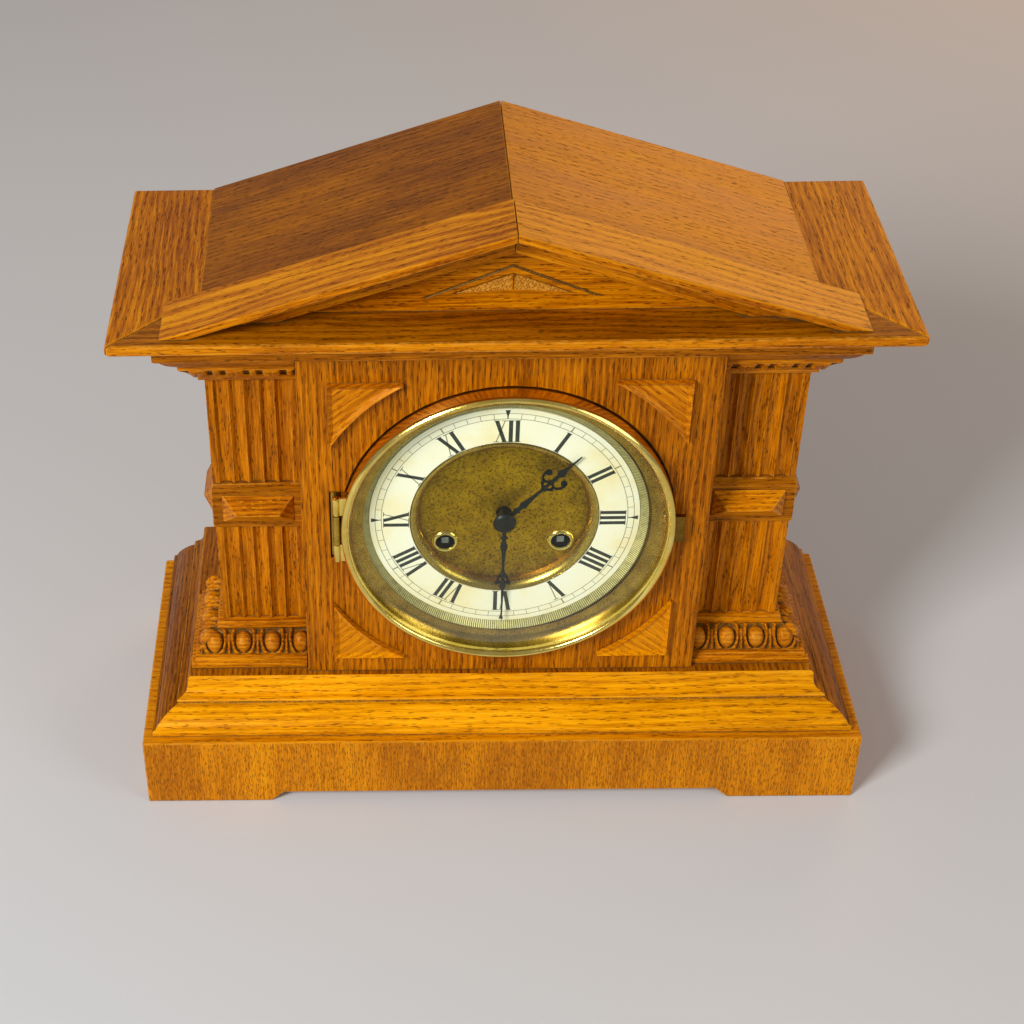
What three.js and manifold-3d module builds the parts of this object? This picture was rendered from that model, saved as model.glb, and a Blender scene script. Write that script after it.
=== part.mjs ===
// An oak mantel clock in the form of a small temple: a plinth with a moulded base, two fluted
// pillars, a front panel with a brass bezel, a cornice and a pitched roof. Inside are a two-train
// movement on a seat board, a pendulum, a hammer and a coil gong, reached by a back door.
// Millimetres, +Z up, the dial faces -Y, and the origin is under the middle of the plinth.
import * as THREE from "three";
import { mergeVertices } from "three/addons/utils/BufferGeometryUtils.js";
import Module from "manifold-3d";

const wasm = await Module();
wasm.setup();

// Driving sizes.
const gap = 0.3; // between pieces that touch
const plinthWidth = 380;
const plinthDepth = 152;
const plinthHeight = 44;
const plinthWall = 13;
const footLength = 67;
const apronRise = 6.4;
const footSlope = 7;
const baseMouldingHeight = 25;
const pillarOuter = 147; // from the middle to the pillars' outer faces
const pillarWidth = 44.8;
const pillarDepth = 40;
const pillarFront = 48; // from the plinth's front to the pillars' front faces
const fluteCount = 5;
const fluteDepth = 2.1;
const fluteMargin = 3.6;
const columnBaseHeight = 20.6;
const lowerShaftHeight = 63.4;
const midBlockHeight = 27.6;
const upperShaftHeight = 65.4;
const capitalHeight = 13.8;
const friezeHeight = 26.8;
const friezeWall = 11;
const corniceThickness = 5.6;
const corniceReach = 40; // past the pillars' faces
const corniceBoardWidth = 46;
const panelClearance = 0.6; // between the front panel and each pillar
const panelThickness = 20;
const panelProjection = 19.5; // in front of the pillars
const dialMargin = 16.1; // from the base moulding's top to the bezel's edge
const bezelRadius = 83.2;
const bezelShift = 1.2; // the bezel sits a little away from its hinge
const bezelDepth = 11;
const recessClearance = 0.7; // round the bezel
const recessDepth = 3;
const glassSetIn = 4.6; // the glass's edge inside the bezel's
const glassThickness = 1.6;
const dialHoleSetIn = 9.6;
const panSetIn = 5.2;
const chapterRadius = 67.8;
const dialCentreRadius = 47.3;
const dialCentreSunk = 5; // behind the chapter ring
const windingSpan = 58.8; // between the winding arbors
const windingDrop = 18.4; // below the hands' arbor
const windingHoleRadius = 5.1;
const hourHandLength = 54;
const minuteHandLength = 68;
const hourHandAngle = 43; // clockwise from twelve
const minuteHandAngle = 180;
const ridgeRise = 47.8; // the roof's ridge over the cornice
const roofHalfWidth = 147;
const roofThickness = 7;
const rakeRise = 53; // the raking cornice's ridge over the cornice
const rakeHalfWidth = 163.5;
const rakeDepth = 33;
const rakeHeight = 23.5;
const tympanumSetBack = 27;
const sideThickness = 10;
const sideSetIn = 4; // behind the pillars' outer faces
const backThickness = 4.6;
const backSetIn = 3.6; // in front of the plinth's back
const doorHalfWidth = 80;
const doorRise = 21; // over the base moulding
const doorLength = 150;
const seatDrop = 64.3; // below the hands' arbor
const seatThickness = 8;
const plateHalfWidth = 50;
const plateHeight = 110;
const plateThickness = 2;
const plateSpacing = 34;
const barrelRadius = 24.5;
const barrelLength = 20;
const timeWheelRadius = 28.9;
const strikeWheelRadius = 26;
const centreWheelRadius = 17;
const thirdWheelRadius = 15.2;
const escapeWheelRadius = 11.5;
const pendulumLength = 112;
const bobRadius = 17;
const gongRadius = 46;
const gongWire = 3.6;
const gongTurns = 4.5;

// Places worked out from them.
const front = -plinthDepth / 2;
const back = plinthDepth / 2;
const baseTop = plinthHeight + baseMouldingHeight;
const pillarFace = front + pillarFront;
const pillarBack = pillarFace + pillarDepth;
const pillarInner = pillarOuter - pillarWidth;
const panelHalfWidth = pillarInner - panelClearance;
const dialHeight = baseTop + bezelRadius + dialMargin;
const recessRadius = bezelRadius + recessClearance;
const glassRadius = bezelRadius - glassSetIn;
const dialHoleRadius = bezelRadius - dialHoleSetIn;
const panRadius = bezelRadius - panSetIn;
const doorBottom = baseTop + doorRise;
const doorTop = doorBottom + doorLength;
const seatHeight = dialHeight - seatDrop;
const panelFace = pillarFace - panelProjection;
const panelBack = panelFace + panelThickness;
const lowerShaftBottom = baseTop + columnBaseHeight;
const midBlockBottom = lowerShaftBottom + lowerShaftHeight;
const upperShaftBottom = midBlockBottom + midBlockHeight;
const capitalBottom = upperShaftBottom + upperShaftHeight;
const friezeBottom = capitalBottom + capitalHeight;
const corniceBottom = friezeBottom + friezeHeight;
const corniceTop = corniceBottom + corniceThickness;
const corniceFront = pillarFace - corniceReach - 2.6;
const corniceSide = pillarOuter + corniceReach;
const recessFloor = panelFace + recessDepth;
const chapterFace = panelFace + 4;
const dialCentreFace = chapterFace + dialCentreSunk;
const windingHeight = dialHeight - windingDrop;
const movementFront = panelBack + 5.5;
const movementBack = movementFront + plateSpacing;
const plateBottom = seatHeight + seatThickness + gap;
const backFace = back - backSetIn;
const sideFace = pillarOuter - sideSetIn;

const object = new THREE.Group();

// A closed geometry as a solid, with its faces turned to point out.
function solid(geometry) {
  const bare = geometry.index ? geometry.toNonIndexed() : geometry.clone();
  bare.deleteAttribute("normal");
  bare.deleteAttribute("uv");
  const merged = mergeVertices(bare, 1e-4);
  const index = [];
  for (let i = 0; i < merged.index.count; i += 3) {
    const [a, b, c] = [0, 1, 2].map((k) => merged.index.getX(i + k));
    if (a !== b && b !== c && c !== a) index.push(a, b, c);
  }
  const build = (triangles) =>
    new wasm.Manifold(
      new wasm.Mesh({
        numProp: 3,
        vertProperties: merged.attributes.position.array,
        triVerts: new Uint32Array(triangles),
      }),
    );
  const made = build(index);
  return made.volume() < 0 ? build(index.reverse()) : made;
}

function add(name, shape, material) {
  const made = shape.getMesh();
  const geometry = new THREE.BufferGeometry();
  geometry.setAttribute("position", new THREE.BufferAttribute(made.vertProperties, 3));
  geometry.setIndex(new THREE.BufferAttribute(made.triVerts, 1));
  geometry.computeVertexNormals();
  const mesh = new THREE.Mesh(geometry, material);
  mesh.name = name;
  object.add(mesh);
}

const join = (...solids) => solids.reduce((whole, next) => whole.add(next));
const cut = (whole, ...tools) => tools.reduce((left, tool) => left.subtract(tool), whole);
const sides = [
  ["left", -1],
  ["right", 1],
];

// Basic shapes. A prism's outline lies across the axis that it is named for.
function box(x0, x1, y0, y1, z0, z1) {
  const shape = new THREE.BoxGeometry(Math.abs(x1 - x0), Math.abs(y1 - y0), Math.abs(z1 - z0));
  return solid(shape.translate((x0 + x1) / 2, (y0 + y1) / 2, (z0 + z1) / 2));
}

function extruded(points, depth, holes = []) {
  const shape = new THREE.Shape(points.map(([a, b]) => new THREE.Vector2(a, b)));
  for (const hole of holes) shape.holes.push(new THREE.Path(hole.map(([a, b]) => new THREE.Vector2(a, b))));
  return new THREE.ExtrudeGeometry(shape, { depth, bevelEnabled: false, steps: 1 });
}

function prismX(points, x0, x1) {
  const turn = new THREE.Matrix4().makeBasis(
    new THREE.Vector3(0, 1, 0),
    new THREE.Vector3(0, 0, 1),
    new THREE.Vector3(1, 0, 0),
  );
  const low = Math.min(x0, x1);
  return solid(extruded(points, Math.abs(x1 - x0)).applyMatrix4(turn).translate(low, 0, 0));
}

function prismY(points, y0, y1) {
  return solid(extruded(points, y1 - y0).rotateX(Math.PI / 2).translate(0, y1, 0));
}

function prismZ(points, z0, z1) {
  return solid(extruded(points, z1 - z0).translate(0, 0, z0));
}

// A round bar along Y, and one along Z.
function barY(radius, y0, y1, x, z, segments = 20) {
  const shape = new THREE.CylinderGeometry(radius, radius, y1 - y0, segments);
  return solid(shape.translate(x, (y0 + y1) / 2, z));
}

function barZ(radius, z0, z1, x, y, segments = 16) {
  const shape = new THREE.CylinderGeometry(radius, radius, z1 - z0, segments).rotateX(Math.PI / 2);
  return solid(shape.translate(x, y, (z0 + z1) / 2));
}

// A turned shape about an axis along Y: its profile holds radius and y.
function turned(profile, x, z, segments = 48) {
  const points = profile.map(([radius, y]) => new THREE.Vector2(radius, y));
  return solid(new THREE.LatheGeometry(points, segments).translate(x, 0, z));
}

const closed = (points) => [...points, points[0]];

// Woods and metals.
const oak = new THREE.MeshStandardMaterial({ color: 0xb06a18, roughness: 0.45 });
const darkOak = new THREE.MeshStandardMaterial({ color: 0x8a4a12, roughness: 0.45 });
const lightOak = new THREE.MeshStandardMaterial({ color: 0xc98a3c, roughness: 0.5 });
const plainWood = new THREE.MeshStandardMaterial({ color: 0x9c7342, roughness: 0.7 });
const brass = new THREE.MeshStandardMaterial({ color: 0xd8b450, roughness: 0.25, metalness: 1 });
const oldBrass = new THREE.MeshStandardMaterial({ color: 0x8f7a2a, roughness: 0.5, metalness: 1 });
const steel = new THREE.MeshStandardMaterial({ color: 0x9a9a98, roughness: 0.4, metalness: 1 });
const blackSteel = new THREE.MeshStandardMaterial({ color: 0x1c1c1c, roughness: 0.4, metalness: 0.6 });
const cream = new THREE.MeshStandardMaterial({ color: 0xf6eccb, roughness: 0.5 });
const clearGlass = new THREE.MeshStandardMaterial({ color: 0xe8f0ee, roughness: 0.05 });

// A moulding runs round the front and the sides, standing out by p at each height z. It is the
// part that a front profile along X and a side profile along Y share, so its corners are mitred.
function profiled(profile, x0, x1, y1, outer, face) {
  const frontLine = profile.map(([p, z]) => [face - p, z]);
  const across = prismX([...frontLine, [y1, profile.at(-1)[1]], [y1, profile[0][1]]], x0, x1);
  const low = profile[0][1];
  const high = profile.at(-1)[1];
  const outerLine = profile.map(([p, z]) => [outer + p, z]);
  const both = x0 < 0 && x1 > 0;
  const start = both ? profile.map(([p, z]) => [-outer - p, z]).reverse() : [[0, high], [0, low]];
  const mirrored = x1 <= 0 ? -1 : 1;
  const outline = [...outerLine, ...start].map(([x, z]) => [x * mirrored, z]);
  const reach = Math.max(...profile.map(([p]) => p));
  return across.intersect(prismY(outline, face - reach, y1));
}

// Plinth: a frame of four boards, with the front board cut away between two feet.
function plinth() {
  const half = plinthWidth / 2;
  const outside = box(-half, half, front, back, 0, plinthHeight);
  const inside = box(-half + plinthWall, half - plinthWall, front + plinthWall, back - plinthWall, -1, plinthHeight + 1);
  const footEnd = half - footLength;
  const apron = [
    [-footEnd, -1],
    [footEnd, -1],
    [footEnd, 0],
    [footEnd - footSlope, apronRise],
    [-footEnd + footSlope, apronRise],
    [-footEnd, 0],
  ];
  add("plinth_frame", cut(outside, inside, prismY(apron, front - 1, front + plinthWall + 1)), oak);
}

// Base moulding: a fillet, an ovolo, a small fillet, a cove and an upper board, stepping in from
// the plinth's faces. Each pair is the set-back and the height over the plinth.
function baseMoulding() {
  const steps = [
    [5.2, gap],
    [5.2, 3.9],
    [8.6, 4.7],
    [12, 7.2],
    [15.2, 10.2],
    [18.2, 12.4],
    [18.9, 13.5],
    [21, 14.3],
    [22.9, 16],
    [24.2, 23],
    [25.4, baseMouldingHeight],
  ];
  const profile = steps.map(([inset, rise]) => [-inset, plinthHeight + rise]);
  const half = plinthWidth / 2;
  add("base_moulding", profiled(profile, -half, half, back, half, front), oak);
}

// The concave flutes along one face of a pillar, as outline points from one corner to the next.
function fluted(from, to, inward) {
  const length = Math.hypot(to[0] - from[0], to[1] - from[1]);
  const along = [(to[0] - from[0]) / length, (to[1] - from[1]) / length];
  const width = (length - 2 * fluteMargin) / fluteCount;
  const radius = ((width / 2) ** 2 + fluteDepth ** 2) / (2 * fluteDepth);
  const points = [from];
  const segments = 4;
  for (let flute = 0; flute < fluteCount; flute++) {
    for (let i = flute ? 1 : 0; i <= segments; i++) {
      const t = (i / segments - 0.5) * width;
      const depth = Math.sqrt(radius ** 2 - t ** 2) - (radius - fluteDepth);
      const s = fluteMargin + (flute + 0.5) * width + t;
      points.push([
        from[0] + along[0] * s + inward[0] * depth,
        from[1] + along[1] * s + inward[1] * depth,
      ]);
    }
  }
  points.push(to);
  return points;
}

// A pyramid with a ridge, standing on a face: the part that two prisms share.
function hippedFront(x0, x1, z0, z1, face, height, hip) {
  const plan = [
    [x0, face],
    [x1, face],
    [x1 - hip, face - height],
    [x0 + hip, face - height],
  ];
  const end = [
    [face, z0],
    [face, z1],
    [face - height, (z0 + z1) / 2],
  ];
  return prismZ(plan, z0, z1).intersect(prismX(end, x0, x1));
}

function hippedSide(side, y0, y1, z0, z1, face, height, hip) {
  const plan = [
    [side * face, y0],
    [side * face, y1],
    [side * (face + height), y1 - hip],
    [side * (face + height), y0 + hip],
  ];
  const end = [
    [side * face, z0],
    [side * face, z1],
    [side * (face + height), (z0 + z1) / 2],
  ];
  return prismZ(plan, z0, z1).intersect(prismY(end, y0, y1));
}

// Pillars: each is a moulded base, two fluted shafts with a block between, and a capital.
function pillars() {
  const corner = (side) => [
    ...fluted([side * pillarInner, pillarFace], [side * pillarOuter, pillarFace], [0, 1]),
    ...fluted([side * pillarOuter, pillarFace], [side * pillarOuter, pillarBack], [-side, 0]).slice(1),
    [side * pillarInner, pillarBack],
  ];
  const ring = (steps, bottom, side) => {
    const profile = steps.map(([p, rise]) => [p, bottom + rise]);
    const span = side < 0 ? [-pillarOuter - 30, -pillarInner] : [pillarInner, pillarOuter + 30];
    return profiled(profile, ...span, pillarBack, pillarOuter, pillarFace);
  };
  const baseSteps = [
    [17, gap],
    [17, 3.4],
    [15, 3.7],
    [15, 6],
    [12.6, 6.3],
    [10.6, 10.8],
    [7.2, 14.8],
    [3.6, 17.2],
    [2.6, 17.6],
    [2.6, columnBaseHeight],
  ];
  const blockSteps = [
    [1.2, gap],
    [1.2, 24.8],
    [0.1, midBlockHeight],
  ];
  const capitalSteps = [
    [3, gap],
    [3, 4.2],
    [5, 4.8],
    [7.6, 8],
    [11.4, 11.6],
    [11.4, capitalHeight],
  ];
  const bossInset = 4;
  const bossHeight = 7;
  const bossHip = 7.6;
  for (const [word, side] of sides) {
    const shaft = corner(side);
    add("column_base_" + word, ring(baseSteps, baseTop, side), oak);
    add("lower_shaft_" + word, prismZ(shaft, lowerShaftBottom + gap, midBlockBottom), oak);
    const block = ring(blockSteps, midBlockBottom, side);
    const bossBottom = midBlockBottom + bossInset;
    const bossTop = midBlockBottom + 21.2;
    const sideBoss = hippedSide(side, pillarFace + 3, pillarBack - 3, bossBottom, bossTop, pillarOuter, 6.2, 7);
    add("mid_block_" + word, join(block, sideBoss), oak);
    const x0 = side * (pillarInner + bossInset);
    const x1 = side * (pillarOuter - bossInset);
    const face = pillarFace - 1.2 - gap;
    const boss = hippedFront(Math.min(x0, x1), Math.max(x0, x1), bossBottom, bossTop, face, bossHeight, bossHip);
    add("block_boss_" + word, boss, lightOak);
    add("upper_shaft_" + word, prismZ(shaft, upperShaftBottom + gap, capitalBottom), oak);
    add("capital_" + word, ring(capitalSteps, capitalBottom, side), oak);
  }
}

// Front panel with the dial's hole, the bezel's shallow recess and the hinge's sinking.
const hingeX = bezelShift - bezelRadius - 2.2;
const hingeY = panelFace - 3.2;
const hingeHalfLength = 20;
const knuckleRadius = 1.9;
const knuckleSplit = 9;

function frontPanel() {
  const board = box(-panelHalfWidth, panelHalfWidth, panelFace, panelBack, baseTop + gap, friezeBottom + 9);
  const hole = barY(dialHoleRadius, panelFace - 1, panelBack + 1, 0, dialHeight, 48);
  const recess = barY(recessRadius, panelFace - 1, recessFloor, bezelShift, dialHeight, 48);
  const hingeRecess = box(
    hingeX - 3.4,
    hingeX + 8,
    panelFace - 1,
    recessFloor,
    dialHeight - hingeHalfLength - 1.5,
    dialHeight + hingeHalfLength + 1.5,
  );
  add("front_panel", cut(board, hole, recess, hingeRecess), darkOak);
}

// Spandrels: four corner pieces, each with a hollow edge that follows the dial.
function spandrels() {
  const reachX = 86.8;
  const reachZ = 86.8;
  const arcRadius = 100.5;
  const thickness = 3.6;
  const start = Math.asin(reachZ / arcRadius);
  const end = Math.acos(reachX / arcRadius);
  const steps = 6;
  for (const [word, side] of sides)
    for (const [row, up] of [["top", 1], ["bottom", -1]]) {
      const outline = [[side * reachX, dialHeight + up * reachZ]];
      for (let i = 0; i <= steps; i++) {
        const angle = start + ((end - start) * i) / steps;
        outline.push([
          side * arcRadius * Math.cos(angle),
          dialHeight + up * arcRadius * Math.sin(angle),
        ]);
      }
      const piece = prismY(outline, panelFace - gap - thickness, panelFace - gap);
      add("spandrel_" + row + "_" + word, piece, lightOak);
    }
}

// Case sides, from the pillars to the back.
function sidePanels() {
  for (const [word, side] of sides)
    add(
      "side_panel_" + word,
      box(
        side * (sideFace - sideThickness),
        side * sideFace,
        pillarBack + gap,
        backFace - backThickness - gap,
        baseTop + gap,
        friezeBottom - gap,
      ),
      oak,
    );
}

// Frieze: bed moulding and plain band under the cornice, in three mitred boards.
const friezeReach = 21.8;

function planFront(half, y0, y1) {
  const inset = y1 - y0;
  return [
    [-half + gap, y0],
    [half - gap, y0],
    [half - inset - gap, y1],
    [-half + inset + gap, y1],
  ];
}

function planSide(side, half, y0, width) {
  return [
    [side * half, y0],
    [side * half, back],
    [side * (half - width), back],
    [side * (half - width), y0 + width],
  ];
}

function frieze() {
  const steps = [
    [12, gap],
    [16, 3.6],
    [16.6, 4.2],
    [18.4, 6.4],
    [18.6, 7],
    [20.8, 8.8],
    [friezeReach, 9.2],
    [friezeReach, friezeHeight - gap],
  ];
  const profile = steps.map(([p, rise]) => [p, friezeBottom + rise]);
  const half = pillarOuter + friezeReach;
  const face = pillarFace - friezeReach;
  const width = friezeReach + friezeWall;
  const whole = profiled(profile, -half, half, back, pillarOuter, pillarFace);
  const low = friezeBottom - 1;
  const high = corniceBottom + 1;
  const panelRoom = box(
    -panelHalfWidth - gap,
    panelHalfWidth + gap,
    panelFace - gap,
    back,
    low,
    friezeBottom + 9 + gap,
  );
  const frontPiece = whole.intersect(prismZ(planFront(half, face, face + width), low, high));
  add("frieze_front", cut(frontPiece, panelRoom), oak);
  for (const [word, side] of sides) {
    const sidePiece = whole.intersect(prismZ(planSide(side, half, face, width), low, high));
    add("frieze_" + word, sidePiece, oak);
  }
}

// Cornice: a thin mitred frame that overhangs the frieze.
function cornice() {
  const width = corniceBoardWidth;
  const plan = planFront(corniceSide, corniceFront, corniceFront + width);
  add("cornice_front", prismZ(plan, corniceBottom, corniceTop), oak);
  for (const [word, side] of sides) {
    const board = planSide(side, corniceSide, corniceFront, width);
    add("cornice_" + word, prismZ(board, corniceBottom, corniceTop), oak);
  }
}

// Pediment: the raking cornice is a thin board over a hollow and a second moulding, and the
// tympanum fills the triangle behind. Both meet the cornice's flat top.
const rakeFront = corniceFront + 4.5;
const rakeBack = rakeFront + rakeDepth;
const rakeBase = corniceTop + gap;
const rakeSlope = rakeRise / rakeHalfWidth;
const roofFront = rakeBack + gap;

function belowRake(side, upper, lower) {
  const top = corniceTop + rakeRise;
  const reach = (offset) => (top - offset - rakeBase) / rakeSlope;
  return [
    [side * gap * 0.5, top - upper],
    [side * reach(upper), rakeBase],
    [side * reach(lower), rakeBase],
    [side * gap * 0.5, top - lower],
  ];
}

function pediment() {
  const boardThickness = 6.3;
  const hollowEnd = 12.5;
  const tympanumFace = corniceFront + tympanumSetBack;
  for (const [word, side] of sides) {
    const board = prismY(belowRake(side, 0, boardThickness), rakeFront, rakeBack);
    const hollow = prismY(belowRake(side, boardThickness - 0.5, hollowEnd), rakeFront + 10, rakeBack);
    const second = prismY(belowRake(side, hollowEnd - 0.5, rakeHeight), rakeFront + 14.5, rakeBack);
    add("raking_cornice_" + word, join(board, hollow, second), lightOak);
  }
  const apex = corniceTop + rakeRise - rakeHeight - 2 * gap;
  const half = (apex - rakeBase) / rakeSlope;
  const triangle = [
    [-half, rakeBase],
    [half, rakeBase],
    [0, apex],
  ];
  add("tympanum", prismY(triangle, tympanumFace, rakeBack), oak);
}

// Roof: two boards that meet at the ridge.
function roof() {
  const slope = ridgeRise / roofHalfWidth;
  const ridge = corniceTop + ridgeRise;
  const thickness = roofThickness / Math.cos(Math.atan(slope));
  for (const [word, side] of sides) {
    const outline = [
      [side * gap * 0.5, ridge],
      [side * (roofHalfWidth - gap / slope), rakeBase],
      [side * (roofHalfWidth - (thickness + gap) / slope), rakeBase],
      [side * gap * 0.5, ridge - thickness],
    ];
    add("roof_" + word, prismY(outline, roofFront, back), word === "left" ? darkOak : oak);
  }
}

// Back: a board that closes the case and the gable, and a hinged door with a turn button.
const doorAxisX = doorHalfWidth - 0.4;
const doorAxisY = backFace + 1.8;

function backOfCase() {
  const slope = ridgeRise / roofHalfWidth;
  const ridge = corniceTop + ridgeRise;
  const underRoof = roofThickness / Math.cos(Math.atan(slope)) + 2 * gap;
  const innerFrieze = pillarOuter - friezeWall - gap;
  const shoulder = Math.min(innerFrieze, (ridge - underRoof - corniceTop) / slope);
  const half = [
    [sideFace, baseTop + gap],
    [sideFace, friezeBottom - gap],
    [innerFrieze, friezeBottom - gap],
    [innerFrieze, corniceBottom - gap],
    [shoulder, corniceTop],
  ];
  const outline = [...half, [0, ridge - underRoof], ...half.map(([x, z]) => [-x, z]).reverse()];
  const board = prismY(outline, backFace - backThickness, backFace);
  const opening = box(
    -doorHalfWidth,
    doorHalfWidth,
    backFace - backThickness - 1,
    backFace + 1,
    doorBottom,
    doorTop,
  );
  add("back_panel", cut(board, opening), plainWood);

  let door = box(
    -doorHalfWidth + gap,
    doorHalfWidth - 2 * gap,
    backFace - backThickness,
    backFace,
    doorBottom + gap,
    doorTop - gap,
  );
  for (const z of [doorBottom + 28, doorTop - 28]) {
    const leaf = box(doorAxisX - 12, doorAxisX, backFace - 0.5, backFace + 1.1, z - 9, z + 9);
    door = join(door, leaf, barZ(1.3, z - 9, z + 9, doorAxisX, doorAxisY, 12));
  }
  add("back_door", door, plainWood);

  const buttonX = -doorHalfWidth - 7;
  const buttonZ = (doorBottom + doorTop) / 2;
  const bar = box(buttonX - 4, buttonX + 4, backFace + gap, backFace + 2.6, buttonZ - 14, buttonZ + 14);
  add("back_door_button", join(bar, barY(3, backFace + gap, backFace + 3.3, buttonX, buttonZ, 16)), brass);
}

// Bezel: a brass rim with an inner lip for the glass and two hinge knuckles on its left.
function bezel() {
  const rim = panelFace - bezelDepth + 1.5;
  const lip = rim + 3.6;
  const rear = rim + bezelDepth;
  const profile = [
    [bezelRadius - 0.2, rear],
    [bezelRadius, rim + 2.7],
    [bezelRadius - 0.8, rim + 0.6],
    [bezelRadius - 2, rim],
    [bezelRadius - 3.2, rim + 0.8],
    [bezelRadius - 4, rim + 2.6],
    [glassRadius - 2.4, lip],
    [glassRadius - 2.4, lip + 0.8],
    [glassRadius + 0.7, lip + 1],
    [bezelRadius - 1.5, lip + 2.1],
    [bezelRadius - 1.5, rear],
  ];
  let shape = turned(closed(profile), bezelShift, dialHeight);
  for (const up of [-1, 1]) {
    const z0 = dialHeight + up * (knuckleSplit + gap);
    const z1 = dialHeight + up * hingeHalfLength;
    const [low, high] = [Math.min(z0, z1), Math.max(z0, z1)];
    const web = box(hingeX, hingeX + 5.3, hingeY - 0.7, hingeY + 0.7, low, high);
    const knuckle = join(barZ(knuckleRadius, low, high, hingeX, hingeY), web);
    shape = join(shape, cut(knuckle, barZ(0.9 + gap, low - 1, high + 1, hingeX, hingeY, 12)));
  }
  add("bezel", shape, brass);

  const edge = lip + 0.8 + gap;
  const crown = 2.6;
  const glass = [
    [0, edge - crown],
    [46, edge - crown * 0.64],
    [glassRadius - 2.9, edge],
    [glassRadius, edge],
    [glassRadius, edge + glassThickness],
    [46, edge - crown * 0.64 + glassThickness],
    [0, edge - crown + glassThickness],
  ];
  add("bezel_glass", turned(glass, bezelShift, dialHeight, 40), clearGlass);

  const leaf = box(
    hingeX - 2.6,
    hingeX + 1.4,
    recessFloor - gap - 1.1,
    recessFloor - gap,
    dialHeight - hingeHalfLength,
    dialHeight + hingeHalfLength,
  );
  const middle = barZ(knuckleRadius, dialHeight - knuckleSplit, dialHeight + knuckleSplit, hingeX, hingeY);
  const web = box(
    hingeX - 0.7,
    hingeX + 0.7,
    hingeY,
    recessFloor - gap - 0.5,
    dialHeight - knuckleSplit,
    dialHeight + knuckleSplit,
  );
  const pin = barZ(0.9, dialHeight - hingeHalfLength - 0.6, dialHeight + hingeHalfLength + 0.6, hingeX, hingeY, 12);
  add("bezel_hinge", join(leaf, middle, web, pin), brass);

  const rimEdge = bezelShift + bezelRadius;
  const tab = box(rimEdge - 0.8, rimEdge + 4.4, rim + 3.2, rim + 5.8, dialHeight - 8, dialHeight + 8);
  const round = barY(bezelRadius + gap, rim, rear, bezelShift, dialHeight, 48);
  add("bezel_catch", cut(tab, round), oldBrass);
}

// Dial: a brass pan with a ribbed cone round the chapter ring, and a sunk brass centre.
function dial() {
  const flangeFace = recessFloor - gap - 0.9;
  const panFront = chapterFace + 0.8 + gap;
  const pan = [
    [dialCentreRadius + 0.8, panFront],
    [chapterRadius + 0.4, panFront],
    [chapterRadius + 4, flangeFace],
    [panRadius, flangeFace],
    [panRadius, flangeFace + 0.9],
    [chapterRadius + 4.8, flangeFace + 0.9],
    [chapterRadius + 1.2, panFront + 0.9],
    [dialCentreRadius + 0.8, panFront + 0.9],
  ];
  add("dial_pan", turned(closed(pan), 0, dialHeight), brass);

  const ring = [
    [dialCentreRadius + 0.4, chapterFace],
    [chapterRadius, chapterFace],
    [chapterRadius, chapterFace + 0.8],
    [dialCentreRadius + 0.4, chapterFace + 0.8],
  ];
  add("chapter_ring", turned(closed(ring), 0, dialHeight), cream);

  const sunk = dialCentreFace;
  const rimFace = chapterFace - 0.7;
  const centre = [
    [0, sunk],
    [dialCentreRadius - 5, sunk],
    [dialCentreRadius - 4.4, chapterFace + 1.6],
    [dialCentreRadius - 2.8, rimFace + 0.2],
    [dialCentreRadius - 1.2, rimFace],
    [dialCentreRadius, chapterFace + 0.5],
    [dialCentreRadius, sunk - 1],
    [dialCentreRadius - 3.4, sunk + 0.9],
    [0, sunk + 0.9],
  ];
  const holes = [-1, 1].map((side) =>
    barY(windingHoleRadius, sunk - 2, sunk + 2, (side * windingSpan) / 2, windingHeight, 16),
  );
  const middleHole = barY(4, sunk - 2, sunk + 2, 0, dialHeight, 16);
  add("dial_centre", cut(turned(centre, 0, dialHeight, 40), ...holes, middleHole), oldBrass);
}

// A hand from stations of distance and half width, turned clockwise from twelve.
function hand(stations, degrees, y0, y1) {
  const angle = THREE.MathUtils.degToRad(degrees);
  const right = stations.map(([s, w]) => [s, w]);
  const left = stations.map(([s, w]) => [s, -w]).reverse();
  const outline = [...right, ...left].map(([s, w]) => [
    s * Math.sin(angle) + w * Math.cos(angle),
    dialHeight + s * Math.cos(angle) - w * Math.sin(angle),
  ]);
  return prismY(outline, y0, y1);
}

const hourHandFront = chapterFace - 2.1;
const minuteHandFront = hourHandFront - 1.5;
const handThickness = 0.7;
const pipeRadius = 3;
const arborRadius = 1.2;

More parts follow.
